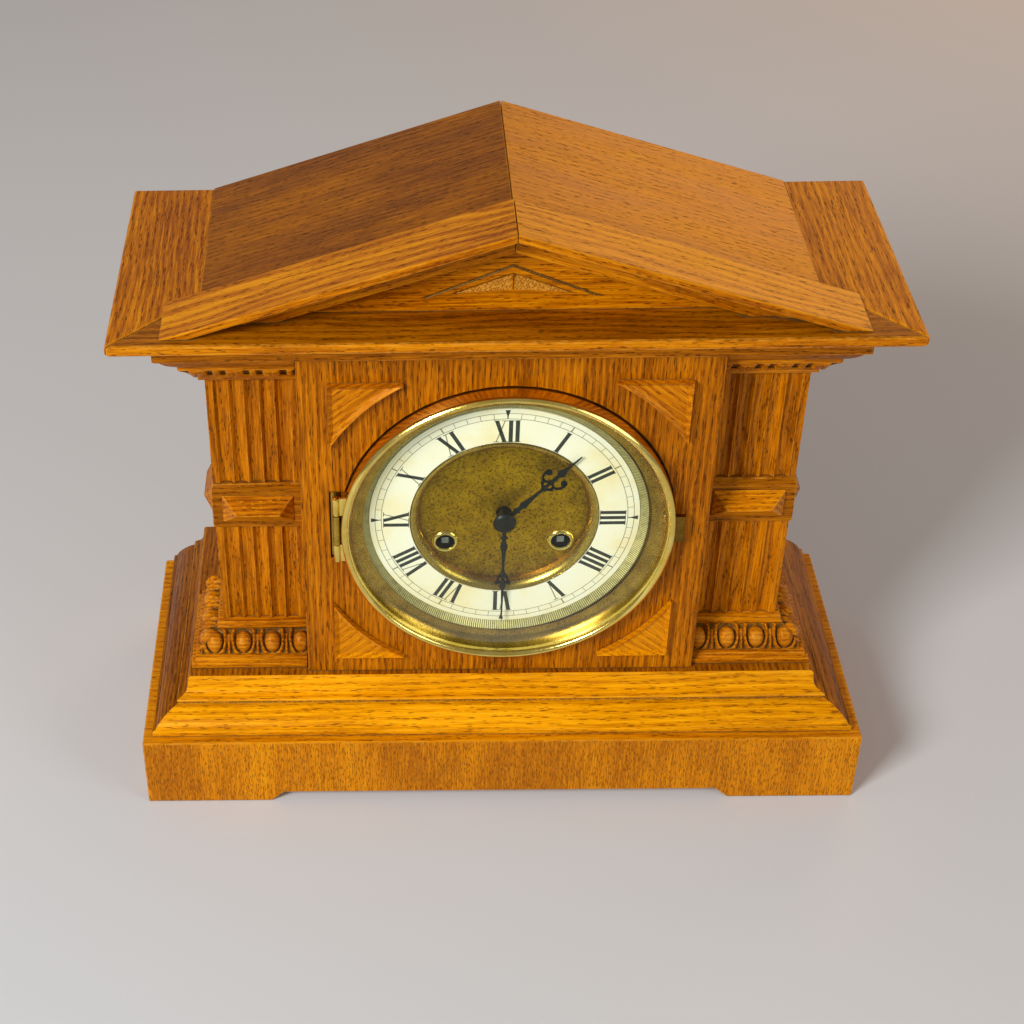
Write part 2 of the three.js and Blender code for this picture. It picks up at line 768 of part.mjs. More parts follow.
function hands() {
  const hourStations = [
    [-6, 1.4],
    [0, 2.6],
    [12, 1.5],
    [28, 1],
    [33, 4.6],
    [37, 1.4],
    [41, 2.4],
    [46, 0.7],
    [hourHandLength, 0.25],
  ];
  const minuteStations = [
    [-6, 1.4],
    [0, 2.4],
    [12, 1.3],
    [20, 2.1],
    [34, 0.9],
    [44, 1.8],
    [50, 0.8],
    [minuteHandLength, 0.25],
  ];
  const hourBack = hourHandFront + handThickness;
  const minuteBack = minuteHandFront + handThickness;
  const pipeEnd = movementFront - plateThickness - 1;
  const bore = (radius, y0, y1) => barY(radius, y0 - 2, y1 + 2, 0, dialHeight, 12);
  const hourShape = join(
    hand(hourStations, hourHandAngle, hourHandFront, hourBack),
    barY(5, hourHandFront, hourBack, 0, dialHeight, 16),
    barY(pipeRadius, hourHandFront + 0.1, pipeEnd, 0, dialHeight, 12),
    barY(14, pipeEnd - 1.4, pipeEnd, 0, dialHeight, 20),
  );
  add("hour_hand", cut(hourShape, bore(arborRadius + gap, hourHandFront, pipeEnd)), blackSteel);
  const minuteShape = join(
    hand(minuteStations, minuteHandAngle, minuteHandFront, minuteBack),
    barY(4.4, minuteHandFront, minuteBack, 0, dialHeight, 16),
  );
  add("minute_hand", cut(minuteShape, bore(arborRadius + gap, minuteHandFront, minuteBack)), blackSteel);
  const nut = [
    [0, minuteHandFront - gap - 2.2],
    [3.4, minuteHandFront - gap - 1.9],
    [5.4, minuteHandFront - gap - 1],
    [5.9, minuteHandFront - gap],
    [0, minuteHandFront - gap],
  ];
  add("hand_nut", turned(nut, 0, dialHeight, 16), blackSteel);
}

// Movement: two plates with pillars, two barrels with winding arbors, the going train, the
// anchor and pendulum, and the hammer. It stands on the seat board.
const meshGap = 0.35;
const anchorHeight = dialHeight + 44;
const escapeHeight = anchorHeight - 17;
const pendulumY = movementBack + plateThickness + 8;

function wheel(radius, y0, y1, x, z, arbor, from, to) {
  const disc = barY(radius, y0, y1, x, z, 24);
  const windows = [0, 1, 2, 3].map((i) => {
    const angle = (i / 4 + 0.125) * 2 * Math.PI;
    const windowX = x + radius * 0.56 * Math.cos(angle);
    const windowZ = z + radius * 0.56 * Math.sin(angle);
    return barY(radius * 0.22, y0 - 1, y1 + 1, windowX, windowZ, 8);
  });
  return join(cut(disc, ...windows), barY(arbor, from, to, x, z, 8));
}

function movement() {
  const seatHalf = pillarInner - gap;
  const seatBack = movementBack + plateThickness + 2;
  const seatTop = seatHeight + seatThickness;
  add("seat_board", box(-seatHalf, seatHalf, panelBack + gap, seatBack, seatHeight, seatTop), plainWood);
  const windingXs = [-windingSpan / 2, windingSpan / 2];
  const plateTop = plateBottom + plateHeight;
  const frontPlate = box(
    -plateHalfWidth,
    plateHalfWidth,
    movementFront - plateThickness,
    movementFront,
    plateBottom,
    plateTop,
  );
  const through = (radius, x, z) => barY(radius, movementFront - 5, movementBack + 5, x, z, 12);
  const windingHoles = windingXs.map((x) => through(3 + gap, x, windingHeight));
  add("front_plate", cut(frontPlate, ...windingHoles, through(arborRadius + gap, 0, dialHeight)), oldBrass);
  let backPlate = box(
    -plateHalfWidth,
    plateHalfWidth,
    movementBack,
    movementBack + plateThickness,
    plateBottom,
    plateTop,
  );
  backPlate = cut(backPlate, ...windingHoles, through(3, 0, anchorHeight));
  for (const x of [-plateHalfWidth + 6, plateHalfWidth - 6])
    for (const z of [plateBottom + 6, plateTop - 6])
      backPlate = join(backPlate, barY(3.2, movementFront + gap, movementBack + 1, x, z, 10));
  const cock = box(-4, 4, movementBack + 1, pendulumY + 2, anchorHeight + 4.4, anchorHeight + 8);
  add("back_plate", join(backPlate, cock), oldBrass);

  const barrelFront = movementFront + 4;
  ["strike", "time"].forEach((train, i) => {
    const x = windingXs[i];
    const barrelEnd = barrelFront + barrelLength;
    const bore = barY(3 + gap, barrelFront - 2, barrelEnd + 2, x, windingHeight, 12);
    const wheelRadius = train === "time" ? timeWheelRadius : strikeWheelRadius;
    const drum = join(
      barY(barrelRadius, barrelFront, barrelEnd, x, windingHeight, 24),
      barY(wheelRadius, barrelEnd - 1.8, barrelEnd, x, windingHeight, 32),
    );
    add(train + "_barrel", cut(drum, bore), brass);
    const shoulder = movementFront - plateThickness - 2;
    const square = box(x - 1.8, x + 1.8, dialCentreFace + 1, shoulder + 1, windingHeight - 1.8, windingHeight + 1.8);
    const arbor = barY(3, shoulder, movementBack + plateThickness + 1, x, windingHeight, 12);
    add(train + "_winding_arbor", join(square, arbor), steel);
  });

  // The going train: the barrel's wheel turns the centre pinion, the centre wheel the third
  // pinion, and the third wheel the escape pinion. A pinion fills what its wheel leaves.
  const barrelEnd = barrelFront + barrelLength;
  const wheelY = barrelEnd + 1.5;
  const thirdY = wheelY + 4.5;
  const escapeY = movementFront + 6;
  const thirdX = 16;
  const thirdZ = dialHeight + 15;
  const pinion = (x0, z0, x1, z1, radius) => Math.hypot(x1 - x0, z1 - z0) - radius - meshGap;
  const centrePinion = pinion(0, dialHeight, windingSpan / 2, windingHeight, timeWheelRadius);
  const thirdPinion = pinion(0, dialHeight, thirdX, thirdZ, centreWheelRadius);
  const escapePinion = pinion(thirdX, thirdZ, 0, escapeHeight, thirdWheelRadius);
  const backPivot = movementBack - gap;
  const frontPivot = movementFront + gap;
  const centre = join(
    wheel(centreWheelRadius, wheelY, wheelY + 1.6, 0, dialHeight, arborRadius, minuteHandFront + 0.1, backPivot),
    barY(centrePinion, barrelEnd - 2.4, barrelEnd + 0.4, 0, dialHeight, 16),
  );
  add("centre_wheel", centre, brass);
  const third = join(
    wheel(thirdWheelRadius, thirdY, thirdY + 1.2, thirdX, thirdZ, 1.2, frontPivot, backPivot),
    barY(thirdPinion, wheelY - 0.4, wheelY + 2, thirdX, thirdZ, 16),
  );
  add("third_wheel", third, brass);
  const escape = join(
    wheel(escapeWheelRadius, escapeY, escapeY + 1.2, 0, escapeHeight, 1.2, frontPivot, backPivot),
    barY(escapePinion, thirdY - 0.4, thirdY + 1.6, 0, escapeHeight, 16),
  );
  add("escape_wheel", escape, brass);

  const armY = [escapeY - 0.3, escapeY + 1.5];
  const anchorOutline = [
    [-3, anchorHeight + 3],
    [3, anchorHeight + 3],
    [11.4, anchorHeight - 5],
    [12, anchorHeight - 9],
    [9.6, anchorHeight - 7.2],
    [3, anchorHeight - 2.6],
    [-3, anchorHeight - 2.6],
    [-9.6, anchorHeight - 7.2],
    [-12, anchorHeight - 9],
    [-11.4, anchorHeight - 5],
  ];
  const crutchY = movementBack + plateThickness + 1.5;
  const forkBottom = anchorHeight - 30;
  const prong = (side) => box(side * 1.6, side * 2.8, crutchY, pendulumY + 2, forkBottom, forkBottom + 2);
  add(
    "pallet_anchor",
    join(
      prismY(anchorOutline, ...armY),
      barY(1.4, frontPivot, crutchY + 1.6, 0, anchorHeight, 12),
      box(-1.2, 1.2, crutchY, crutchY + 1.6, forkBottom, anchorHeight),
      box(-2.8, 2.8, crutchY, crutchY + 1.6, forkBottom, forkBottom + 2),
      prong(-1),
      prong(1),
    ),
    steel,
  );

  const bobHeight = anchorHeight - pendulumLength;
  const bob = [
    [0, pendulumY - 3.6],
    [bobRadius * 0.6, pendulumY - 2.9],
    [bobRadius * 0.92, pendulumY - 1.2],
    [bobRadius, pendulumY],
    [bobRadius * 0.92, pendulumY + 1.2],
    [bobRadius * 0.6, pendulumY + 2.9],
    [0, pendulumY + 3.6],
  ];
  add(
    "pendulum",
    join(
      turned(bob, 0, bobHeight, 24),
      barZ(1, bobHeight - bobRadius - 6, anchorHeight - 8, 0, pendulumY, 8),
      box(-2.4, 2.4, pendulumY - 0.4, pendulumY + 0.4, anchorHeight - 9, anchorHeight + 4),
      barZ(2.6, bobHeight - bobRadius - 4.4, bobHeight - bobRadius - 1.4, 0, pendulumY, 12),
    ),
    brass,
  );
}

// Gong: a flat coil of wire whose outer end stands in a block on the base, and the hammer.
const gongY = movementBack + 26;
const gongHeight = dialHeight - 48;
const hammerX = 41;
const hammerZ = 138;

class Coil extends THREE.Curve {
  getPoint(t, target = new THREE.Vector3()) {
    const inner = 10;
    const angle = -Math.PI / 4 - (t - 1) * gongTurns * 2 * Math.PI;
    const radius = inner + (gongRadius - inner) * t;
    return target.set(radius * Math.cos(angle), gongY, gongHeight + radius * Math.sin(angle));
  }
}

function gong() {
  const section = new THREE.Shape();
  const corners = 5;
  for (let i = 0; i < corners; i++) {
    const angle = (i / corners) * 2 * Math.PI;
    const point = [(gongWire / 2) * Math.cos(angle), (gongWire / 2) * Math.sin(angle)];
    if (i) section.lineTo(...point);
    else section.moveTo(...point);
  }
  const steps = Math.round(gongTurns * 15);
  const wire = new THREE.ExtrudeGeometry(section, { steps, extrudePath: new Coil(), bevelEnabled: false });
  const endX = gongRadius * Math.SQRT1_2;
  const endZ = gongHeight - gongRadius * Math.SQRT1_2;
  const blockTop = endZ - 3;
  const foot = barZ(gongWire / 2 + 0.6, blockTop + gap, endZ + 1.5, endX, gongY, 12);
  add("gong_coil", join(solid(wire), foot), steel);
  add("gong_block", box(endX - 9, endX + 9, gongY - 9, gongY + 9, baseTop + gap, blockTop), blackSteel);

  const headX = gongRadius + gongWire / 2 + 2;
  const headZ = gongHeight - 8;
  const armY0 = movementBack + plateThickness + 10;
  const reachX = headX + 4 - hammerX;
  const reachZ = headZ - hammerZ;
  const length = Math.hypot(reachX, reachZ);
  const nx = (-reachZ / length) * 1.1;
  const nz = (reachX / length) * 1.1;
  const arm = prismY(
    [
      [hammerX + nx, hammerZ + nz],
      [hammerX - nx, hammerZ - nz],
      [hammerX + reachX - nx, headZ - nz],
      [hammerX + reachX + nx, headZ + nz],
    ],
    armY0,
    armY0 + 1.8,
  );
  const head = new THREE.CylinderGeometry(4, 4, 9, 20).rotateZ(Math.PI / 2);
  head.translate(headX + 4.5, gongY, headZ);
  add(
    "strike_hammer",
    join(
      barY(2, movementBack + plateThickness + gap, armY0 + 1.8, hammerX, hammerZ, 12),
      barY(3.6, armY0, armY0 + 1.8, hammerX, hammerZ, 16),
      arm,
      barY(1.6, armY0, gongY, headX + 4, headZ, 12),
      solid(head),
    ),
    steel,
  );
}

plinth();
baseMoulding();
sidePanels();
frontPanel();
spandrels();
pillars();
frieze();
cornice();
pediment();
roof();
backOfCase();
bezel();
dial();
hands();
movement();
gong();

export default object;
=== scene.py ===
import math

import bmesh
import bpy
from mathutils import Euler, Matrix, Vector


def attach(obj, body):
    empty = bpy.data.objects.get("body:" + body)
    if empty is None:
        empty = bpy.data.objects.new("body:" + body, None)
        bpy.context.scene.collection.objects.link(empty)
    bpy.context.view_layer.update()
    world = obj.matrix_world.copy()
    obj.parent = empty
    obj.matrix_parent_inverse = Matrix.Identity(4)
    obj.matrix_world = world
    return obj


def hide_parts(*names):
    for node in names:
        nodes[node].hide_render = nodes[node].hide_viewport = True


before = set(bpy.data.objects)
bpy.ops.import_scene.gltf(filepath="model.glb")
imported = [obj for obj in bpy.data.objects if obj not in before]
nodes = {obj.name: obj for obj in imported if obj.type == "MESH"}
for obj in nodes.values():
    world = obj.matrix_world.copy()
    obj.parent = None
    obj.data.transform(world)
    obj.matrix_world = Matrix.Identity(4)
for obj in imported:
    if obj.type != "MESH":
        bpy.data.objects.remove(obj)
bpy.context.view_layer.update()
mm = 0.001
dialHeight = 168.3  # the middle of the dial over the ground, in mm


def linear(code):
    # an sRGB hex value as the linear colour that the shaders take
    value = code.lstrip("#")
    parts = [int(value[i : i + 2], 16) / 255 for i in (0, 2, 4)]
    return [c / 12.92 if c <= 0.04045 else ((c + 0.055) / 1.055) ** 2.4 for c in parts] + [1.0]


def grey(value):
    return [value, value, value, 1.0]


def addNode(tree, kind, inputs=(), output=None, stops=(), **settings):
    # The inputs are plain values or the sockets to link from, by name or in the node's own order.
    made = tree.nodes.new("ShaderNode" + kind)
    for name, value in settings.items():
        setattr(made, name, value)
    named = inputs if isinstance(inputs, dict) else dict(enumerate(inputs))
    for name, value in named.items():
        socket = made.inputs[name]
        if isinstance(value, bpy.types.NodeSocket):
            tree.links.new(value, socket)
        else:
            socket.default_value = value
    if stops:
        band = made.color_ramp
        while len(band.elements) < len(stops):
            band.elements.new(0.5)
        for element, (place, colour) in zip(band.elements, stops):
            element.position = place
            element.color = colour
    return made if output is None else made.outputs[output]


def newMaterial(name):
    made = bpy.data.materials.new(name)
    made.use_nodes = True
    tree = made.node_tree
    tree.nodes.clear()
    output = addNode(tree, "OutputMaterial")
    shader = addNode(tree, "BsdfPrincipled")
    tree.links.new(shader.outputs["BSDF"], output.inputs["Surface"])
    return made, tree, shader


# Camera

camera = {
    "place": (-0.0596, -0.7953, 0.7720),
    "pitch": 36.95,
    "yaw": -1.31,
    "roll": -1.45,
    "focal": 1915.5,  # in units of a frame 1024 across
    "centre": (350, 460),
}


def makeCamera(c):
    data = bpy.data.cameras.new("camera")
    data.sensor_width = 36
    data.lens = c["focal"] / 1024 * 36
    data.shift_x = (512 - c["centre"][0]) / 1024
    data.shift_y = (c["centre"][1] - 512) / 1024
    data.clip_start = 0.01
    made = bpy.data.objects.new("camera", data)
    turn = (
        Euler((0, 0, math.radians(-c["yaw"]))).to_matrix()
        @ Euler((math.radians(90 - c["pitch"]), 0, 0)).to_matrix()
        @ Euler((0, 0, math.radians(c["roll"]))).to_matrix()
    )
    made.matrix_world = Matrix.Translation(c["place"]) @ turn.to_4x4()
    bpy.context.scene.collection.objects.link(made)
    bpy.context.scene.camera = made


makeCamera(camera)


# Varnished oak. It has dark open pores along the grain, growth bands and pale ray flecks under a
# warm satin varnish, with grey dust and painted shade in the joints and hollows, pale wear on the arrises,
# and painted highlights on some chamfers and carved high points.

oakLooks = {
    "honey": {"deep": "#b86c02", "middle": "#e49400", "light": "#fbb010", "pore": "#6a3803"},
    "golden": {"deep": "#a95f00", "middle": "#d28000", "light": "#e89a02", "pore": "#643200"},
    "amber": {"deep": "#843f00", "middle": "#b96800", "light": "#dc8c06", "pore": "#431d00"},
    "brown": {"deep": "#622e00", "middle": "#925000", "light": "#b86e04", "pore": "#2e1400"},
    "russet": {"deep": "#743800", "middle": "#a95e00", "light": "#d07c02", "pore": "#381800"},
    "pale": {"deep": "#94560e", "middle": "#bd7a22", "light": "#dc9a38", "pore": "#5d3408"},
    "bare": {"deep": "#8a6436", "middle": "#a98352", "light": "#c39c6a", "pore": "#5b3f20"},
}

oakDefaults = {
    "pores": 1.0,  # how dark and how many
    "poreLength": 5.0,  # mm
    "band": 4.0,  # mm from one year's growth to the next
    "swing": 9.0,  # mm that the bands wander off straight
    "streaks": 0.45,
    "flecks": 0.25,
    "face": "y",  # the way that the board's face looks
    "rough": 0.36,
    "tilt": 0.0,  # degrees that the grain is turned about Y
    "strips": 0.0,  # mm of width of each veneer leaf, or none
    "gather": 1.0,  # how far the pores keep to the early wood
    "poreSize": 0.34,  # as a share of the space between them
    "poreGap": 1.0,  # mm from one to the next, across the grain
    "bands": 0.13,  # how strongly the growth bands show
}

woods = {}


def oak(look, grain="x", seed=0, **more):
    key = f"{look} {grain} {seed} {sorted(more.items())}"
    if key in woods:
        return woods[key]
    s = {**oakDefaults, **more}
    tone = oakLooks[look]
    finish = "bare oak" if look == "bare" else "varnished oak, " + look
    made, tree, shader = newMaterial(finish + ", board " + str(len(woods) + 1))
    woods[key] = made
    place = addNode(tree, "TexCoord", (), "Object")
    turned = addNode(tree, "Mapping", {"Vector": place, "Rotation": (0, math.radians(s["tilt"]), 0)})
    split = addNode(tree, "SeparateXYZ", {"Vector": turned.outputs["Vector"]})
    along = grain.upper()
    across = [a for a in "XYZ" if a != along]
    depth = s["face"].upper() if s["face"].upper() in across else across[-1]
    width = [a for a in across if a != depth][0]
    # the board's own axes in millimetres: along the grain, across it, and through the board
    axes = {"X": split.outputs[along], "Y": split.outputs[width], "Z": split.outputs[depth]}
    board = addNode(tree, "CombineXYZ", axes, "Vector")
    shift = (seed * 137.1, seed * 41.7, seed * 23.3)
    inputs = {"Vector": board, "Location": shift, "Scale": (1000, 1000, 1000)}
    board = addNode(tree, "Mapping", inputs, "Vector")
    parts = addNode(tree, "SeparateXYZ", {"Vector": board})

    def grained(x, y, z, detail=2, kind="TexNoise", output="Fac", **settings):
        # a texture stretched along the grain: x, y and z are repeats to the mm
        stretched = addNode(tree, "VectorMath", {0: board, 1: (x, y, z)}, 0, operation="MULTIPLY")
        values = {"Vector": stretched, "Scale": 1.0}
        if kind == "TexNoise":
            values["Detail"] = detail
        return addNode(tree, kind, values, output, **settings)

    # growth bands, which slow waves carry off straight
    wander = grained(0.007, 0.02, 0.02)
    wander = addNode(tree, "Math", (wander, s["swing"] * 2.4), 0, operation="MULTIPLY")
    at = addNode(tree, "Math", (parts.outputs["Z"], 1.3, wander), 0, operation="MULTIPLY_ADD")
    at = addNode(tree, "Math", (at, parts.outputs["Y"]), 0, operation="ADD")
    at = addNode(tree, "Math", (grained(0.03, 0.5, 0.5), 1.8, at), 0, operation="MULTIPLY_ADD")
    growth = addNode(tree, "Math", (at, 1 / s["band"]), 0, operation="MULTIPLY")
    growth = addNode(tree, "Math", (growth, 0.5), 0, operation="PINGPONG")
    growth = addNode(tree, "Math", (growth, 2.0), 0, operation="MULTIPLY")

    fibre = grained(0.08, 2.0, 2.0, 3)
    broad = grained(0.01, 0.05, 0.05)
    level = addNode(tree, "Math", (fibre, 0.6), 0, operation="MULTIPLY")
    level = addNode(tree, "Math", (growth, s["bands"], level), 0, operation="MULTIPLY_ADD")
    level = addNode(tree, "Math", (broad, 0.4, level), 0, operation="MULTIPLY_ADD")
    if s["strips"]:
        leaf = addNode(tree, "Math", (parts.outputs["Y"], 1 / s["strips"]), 0, operation="MULTIPLY")
        leaf = addNode(tree, "Math", (leaf,), 0, operation="FLOOR")
        tint = addNode(tree, "TexWhiteNoise", {"W": leaf}, "Value", noise_dimensions="1D")
        less = addNode(tree, "Math", (level, 0.05), 0, operation="SUBTRACT")
        level = addNode(tree, "Math", (tint, 0.1, less), 0, operation="MULTIPLY_ADD")
    stops = [(0.4, linear(tone["deep"])), (0.565, linear(tone["middle"])), (0.74, linear(tone["light"]))]
    colour = addNode(tree, "ValToRGB", (level,), "Color", stops)

    # dark streaks, the late wood that took more stain
    streak = grained(0.03, 0.6, 0.6, 2)
    streak = addNode(tree, "MapRange", (streak, 0.52, 0.68, 0.0, s["streaks"]), "Result")
    colour = addNode(tree, "MixRGB", (streak, colour, linear(tone["deep"])), "Color")

    # pores: dark slots half a millimetre wide, a little coarser than real ones, most in early wood
    gaps = 1 / s["poreGap"]
    cells = grained(1 / s["poreLength"], gaps, gaps, kind="TexVoronoi", output="Distance")
    most = s["poreSize"] + 0.06 * s["gather"]
    reach = addNode(tree, "MapRange", (growth, 0.1, 0.8, most, most - 0.18 * s["gather"]), "Result")
    slot = addNode(tree, "Math", (reach, cells), 0, operation="SUBTRACT")
    slot = addNode(tree, "MapRange", (slot, 0.0, 0.14, 0.0, 0.75 * s["pores"]), "Result")
    colour = addNode(tree, "MixRGB", (slot, colour, linear(tone["pore"])), "Color")

    # ray flecks: short pale flames
    ray = addNode(tree, "MapRange", (grained(0.3, 0.8, 0.25, 1), 0.6, 0.72, 0.0, s["flecks"]), "Result")
    colour = addNode(tree, "MixRGB", (ray, colour, linear(tone["light"])), "Color")

    # pale wear on the arrises, and painted highlights on the spandrels' chamfers and the carvings' high
    # points, broken up so that it isn't a drawn line
    wearAndHighlight = addNode(tree, "Attribute", (), "Fac", attribute_name="arris")
    patch = addNode(tree, "TexNoise", {"Vector": board, "Scale": 0.18, "Detail": 3}, "Fac")
    share = addNode(tree, "MapRange", (patch, 0.4, 0.62, 0.05, 0.45), "Result")
    wearAndHighlight = addNode(tree, "Math", (wearAndHighlight, share), 0, operation="MULTIPLY")
    colour = addNode(tree, "MixRGB", (wearAndHighlight, colour, linear("#db942e")), "Color")

    # dust, and painted shade: ambient occlusion darkens the corners where two pieces meet to grey-brown,
    # broken up by noise
    corner = addNode(tree, "AmbientOcclusion", {"Distance": 0.003}, "AO", samples=6)
    crumbs = addNode(tree, "TexNoise", {"Vector": board, "Scale": 0.7, "Detail": 2}, "Fac")
    dustAndShade = addNode(tree, "MapRange", (corner, 0.62, 0.32, 0.0, 1.0), "Result")
    loose = addNode(tree, "MapRange", (crumbs, 0.35, 0.6, 0.2, 0.85), "Result")
    dustAndShade = addNode(tree, "Math", (dustAndShade, loose), 0, operation="MULTIPLY", use_clamp=True)
    colour = addNode(tree, "MixRGB", (dustAndShade, colour, linear("#5e5030")), "Color")
    # the hollows of the carving are darkened: old dark polish, and painted shade in the recesses
    hollow = addNode(tree, "Attribute", (), "Fac", attribute_name="hollow")
    share = addNode(tree, "MapRange", (crumbs, 0.3, 0.6, 0.55, 0.95), "Result")
    hollow = addNode(tree, "Math", (hollow, share), 0, operation="MULTIPLY")
    colour = addNode(tree, "MixRGB", (hollow, colour, linear("#4a3a1c")), "Color")
    tree.links.new(colour, shader.inputs["Base Color"])

    gloss = addNode(tree, "MapRange", (broad, 0.3, 0.7, s["rough"] - 0.05, s["rough"] + 0.07), "Result")
    gloss = addNode(tree, "Math", (slot, 0.25, gloss), 0, operation="MULTIPLY_ADD")
    gloss = addNode(tree, "Math", (dustAndShade, 0.4, gloss), 0, operation="MULTIPLY_ADD", use_clamp=True)
    tree.links.new(gloss, shader.inputs["Roughness"])
    sunk = addNode(tree, "Math", (slot, -1.0), 0, operation="MULTIPLY")
    height = addNode(tree, "Math", (fibre, 0.35, sunk), 0, operation="MULTIPLY_ADD")
    bump = addNode(tree, "Bump", {"Height": height, "Strength": 0.35, "Distance": 0.00012})
    tree.links.new(bump.outputs["Normal"], shader.inputs["Normal"])
    bare = look == "bare"
    shader.inputs["Specular IOR Level"].default_value = 0.15 if bare else 0.4
    shader.inputs["Specular Tint"].default_value = linear("#e0a058")  # old amber varnish
    return made


def toothedBrass():
    # a milled ring: fine radial teeth, with their lit and shaded sides painted into the colour as thin pale
    # and dark lines
    made, tree, shader = newMaterial("silvered brass, milled teeth")
    place = addNode(tree, "TexCoord", (), "Object")
    split = addNode(tree, "SeparateXYZ", {"Vector": place})
    rise = addNode(tree, "Math", (split.outputs["Z"], dialHeight * mm), 0, operation="SUBTRACT")
    angle = addNode(tree, "Math", (split.outputs["X"], rise), 0, operation="ARCTAN2")
    # 400 teeth round the ring
    wave = addNode(tree, "Math", (angle, 400.0), 0, operation="MULTIPLY")
    wave = addNode(tree, "Math", (wave,), 0, operation="SINE")
    wave = addNode(tree, "MapRange", (wave, -1.0, 1.0, 0.0, 1.0), "Result")
    # the stops paint each tooth's lit side pale and its shaded side dark
    stops = [(0.1, linear("#6d6230")), (0.5, linear("#aa9c54")), (0.85, linear("#d4c88a"))]
    colour = addNode(tree, "ValToRGB", (wave,), "Color", stops)
    spots = addNode(tree, "TexNoise", {"Vector": place, "Scale": 300, "Detail": 2}, "Fac")
    tarnish = addNode(tree, "MapRange", (spots, 0.5, 0.7, 0.0, 0.5), "Result")
    colour = addNode(tree, "MixRGB", (tarnish, colour, linear("#6c652c")), "Color")
    tree.links.new(colour, shader.inputs["Base Color"])
    bump = addNode(tree, "Bump", {"Height": wave, "Strength": 0.6, "Distance": 0.0004})
    tree.links.new(bump.outputs["Normal"], shader.inputs["Normal"])
    shader.inputs["Metallic"].default_value = 0.35
    shader.inputs["Roughness"].default_value = 0.42
    return made


def stippledOak():
    # the carver's punched ground: pale wood with a close pattern of small pricks
    made, tree, shader = newMaterial("oak, punched ground")
    place = addNode(tree, "TexCoord", (), "Object")
    cells = addNode(tree, "TexVoronoi", {"Vector": place, "Scale": 1400.0}, "Distance")
    stops = [(0.15, linear("#6e3f08")), (0.4, linear("#a5661a")), (0.7, linear("#c98a30"))]
    colour = addNode(tree, "ValToRGB", (cells,), "Color", stops)
    tree.links.new(colour, shader.inputs["Base Color"])
    bump = addNode(tree, "Bump", {"Height": cells, "Strength": 0.5, "Distance": 0.0002})
    tree.links.new(bump.outputs["Normal"], shader.inputs["Normal"])
    shader.inputs["Roughness"].default_value = 0.6
    shader.inputs["Specular IOR Level"].default_value = 0.1
    shader.inputs["Specular Tint"].default_value = linear("#e0a058")
    return made


# Metals and the dial's finishes


def metal(name, base, tint, rough, speckle=None, amount=0.0, scale=1.2, relief=0.05, darkRim=False):
    # worn metal: clouds of two tones, spots of tarnish, and a fine relief from the same spots
    made, tree, shader = newMaterial(name)
    place = addNode(tree, "TexCoord", (), "Object")
    place = addNode(tree, "Mapping", {"Vector": place, "Scale": (1000, 1000, 1000)}, "Vector")
    inputs = {"Vector": place, "Scale": 0.09, "Detail": 4, "Roughness": 0.6}
    cloud = addNode(tree, "TexNoise", inputs, "Fac")
    colour = addNode(tree, "ValToRGB", (cloud,), "Color", [(0.35, linear(base)), (0.65, linear(tint))])
    inputs = {"Vector": place, "Scale": scale, "Detail": 3, "Roughness": 0.65}
    spots = addNode(tree, "TexNoise", inputs, "Fac")
    if speckle:
        tarnish = addNode(tree, "MapRange", (spots, 0.5, 0.66, 0.0, amount), "Result")
        colour = addNode(tree, "MixRGB", (tarnish, colour, linear(speckle)), "Color")
    if darkRim:
        # the dial's middle is darker in a band towards its rim, broken up by noise
        flat = addNode(tree, "VectorMath", {0: place, 1: (1, 0, 1)}, 0, operation="MULTIPLY")
        away = addNode(tree, "VectorMath", {0: flat, 1: (0, 0, dialHeight)}, operation="DISTANCE")
        edge = addNode(tree, "MapRange", (away.outputs["Value"], 30.0, 42.5, 0.0, 0.55), "Result")
        worn = addNode(tree, "TexNoise", {"Vector": place, "Scale": 0.5, "Detail": 4}, "Fac")
        rubbed = addNode(tree, "MapRange", (worn, 0.4, 0.6, 0.2, 1.0), "Result")
        edge = addNode(tree, "Math", (edge, rubbed), 0, operation="MULTIPLY")
        colour = addNode(tree, "MixRGB", (edge, colour, linear("#4a3c06")), "Color")
    tree.links.new(colour, shader.inputs["Base Color"])
    shine = addNode(tree, "MapRange", (spots, 0.35, 0.7, rough - 0.04, rough + 0.1), "Result")
    tree.links.new(shine, shader.inputs["Roughness"])
    shader.inputs["Metallic"].default_value = 1.0
    bump = addNode(tree, "Bump", {"Height": spots, "Strength": relief, "Distance": 0.0001})
    tree.links.new(bump.outputs["Normal"], shader.inputs["Normal"])
    return made


polishedBrass = metal("polished brass, hand burnished", "#e3c45a", "#f2da7c", 0.14)
rimBrass = metal("spun brass, lightly tarnished", "#b5963c", "#cfae55", 0.24, "#5c4a1c", 0.35)
oldBrass = metal("brass sheet, aged and speckled", "#a87e00", "#cda006", 0.5, "#4b3b08", 0.9, 0.9, 0.15, True)
plateBrass = metal("rolled brass plate, movement", "#a88f3e", "#c0a552", 0.34, "#5f5020", 0.4)
steelGrey = metal("ground steel", "#8b8c8c", "#a3a4a5", 0.32, "#4e4a44", 0.4)
gongSteel = metal("blued gong wire", "#3c4250", "#565d6c", 0.3, "#2a2320", 0.4)
blackIron = metal("black japanned iron", "#17171a", "#222226", 0.38, "#3a3226", 0.3)


def blackHands():
    # stamped steel, blacked and lacquered: nearly black with a soft shine
    made, tree, shader = newMaterial("blacked steel, lacquered")
    place = addNode(tree, "TexCoord", (), "Object")
    spots = addNode(tree, "TexNoise", {"Vector": place, "Scale": 900, "Detail": 3}, "Fac")
    stops = [(0.35, linear("#040404")), (0.7, linear("#12120e"))]
    colour = addNode(tree, "ValToRGB", (spots,), "Color", stops)
    tree.links.new(colour, shader.inputs["Base Color"])
    tree.links.new(
        addNode(tree, "MapRange", (spots, 0.0, 1.0, 0.3, 0.5), "Result"), shader.inputs["Roughness"]
    )
    shader.inputs["Metallic"].default_value = 0.0
    shader.inputs["Specular IOR Level"].default_value = 0.3
    return made


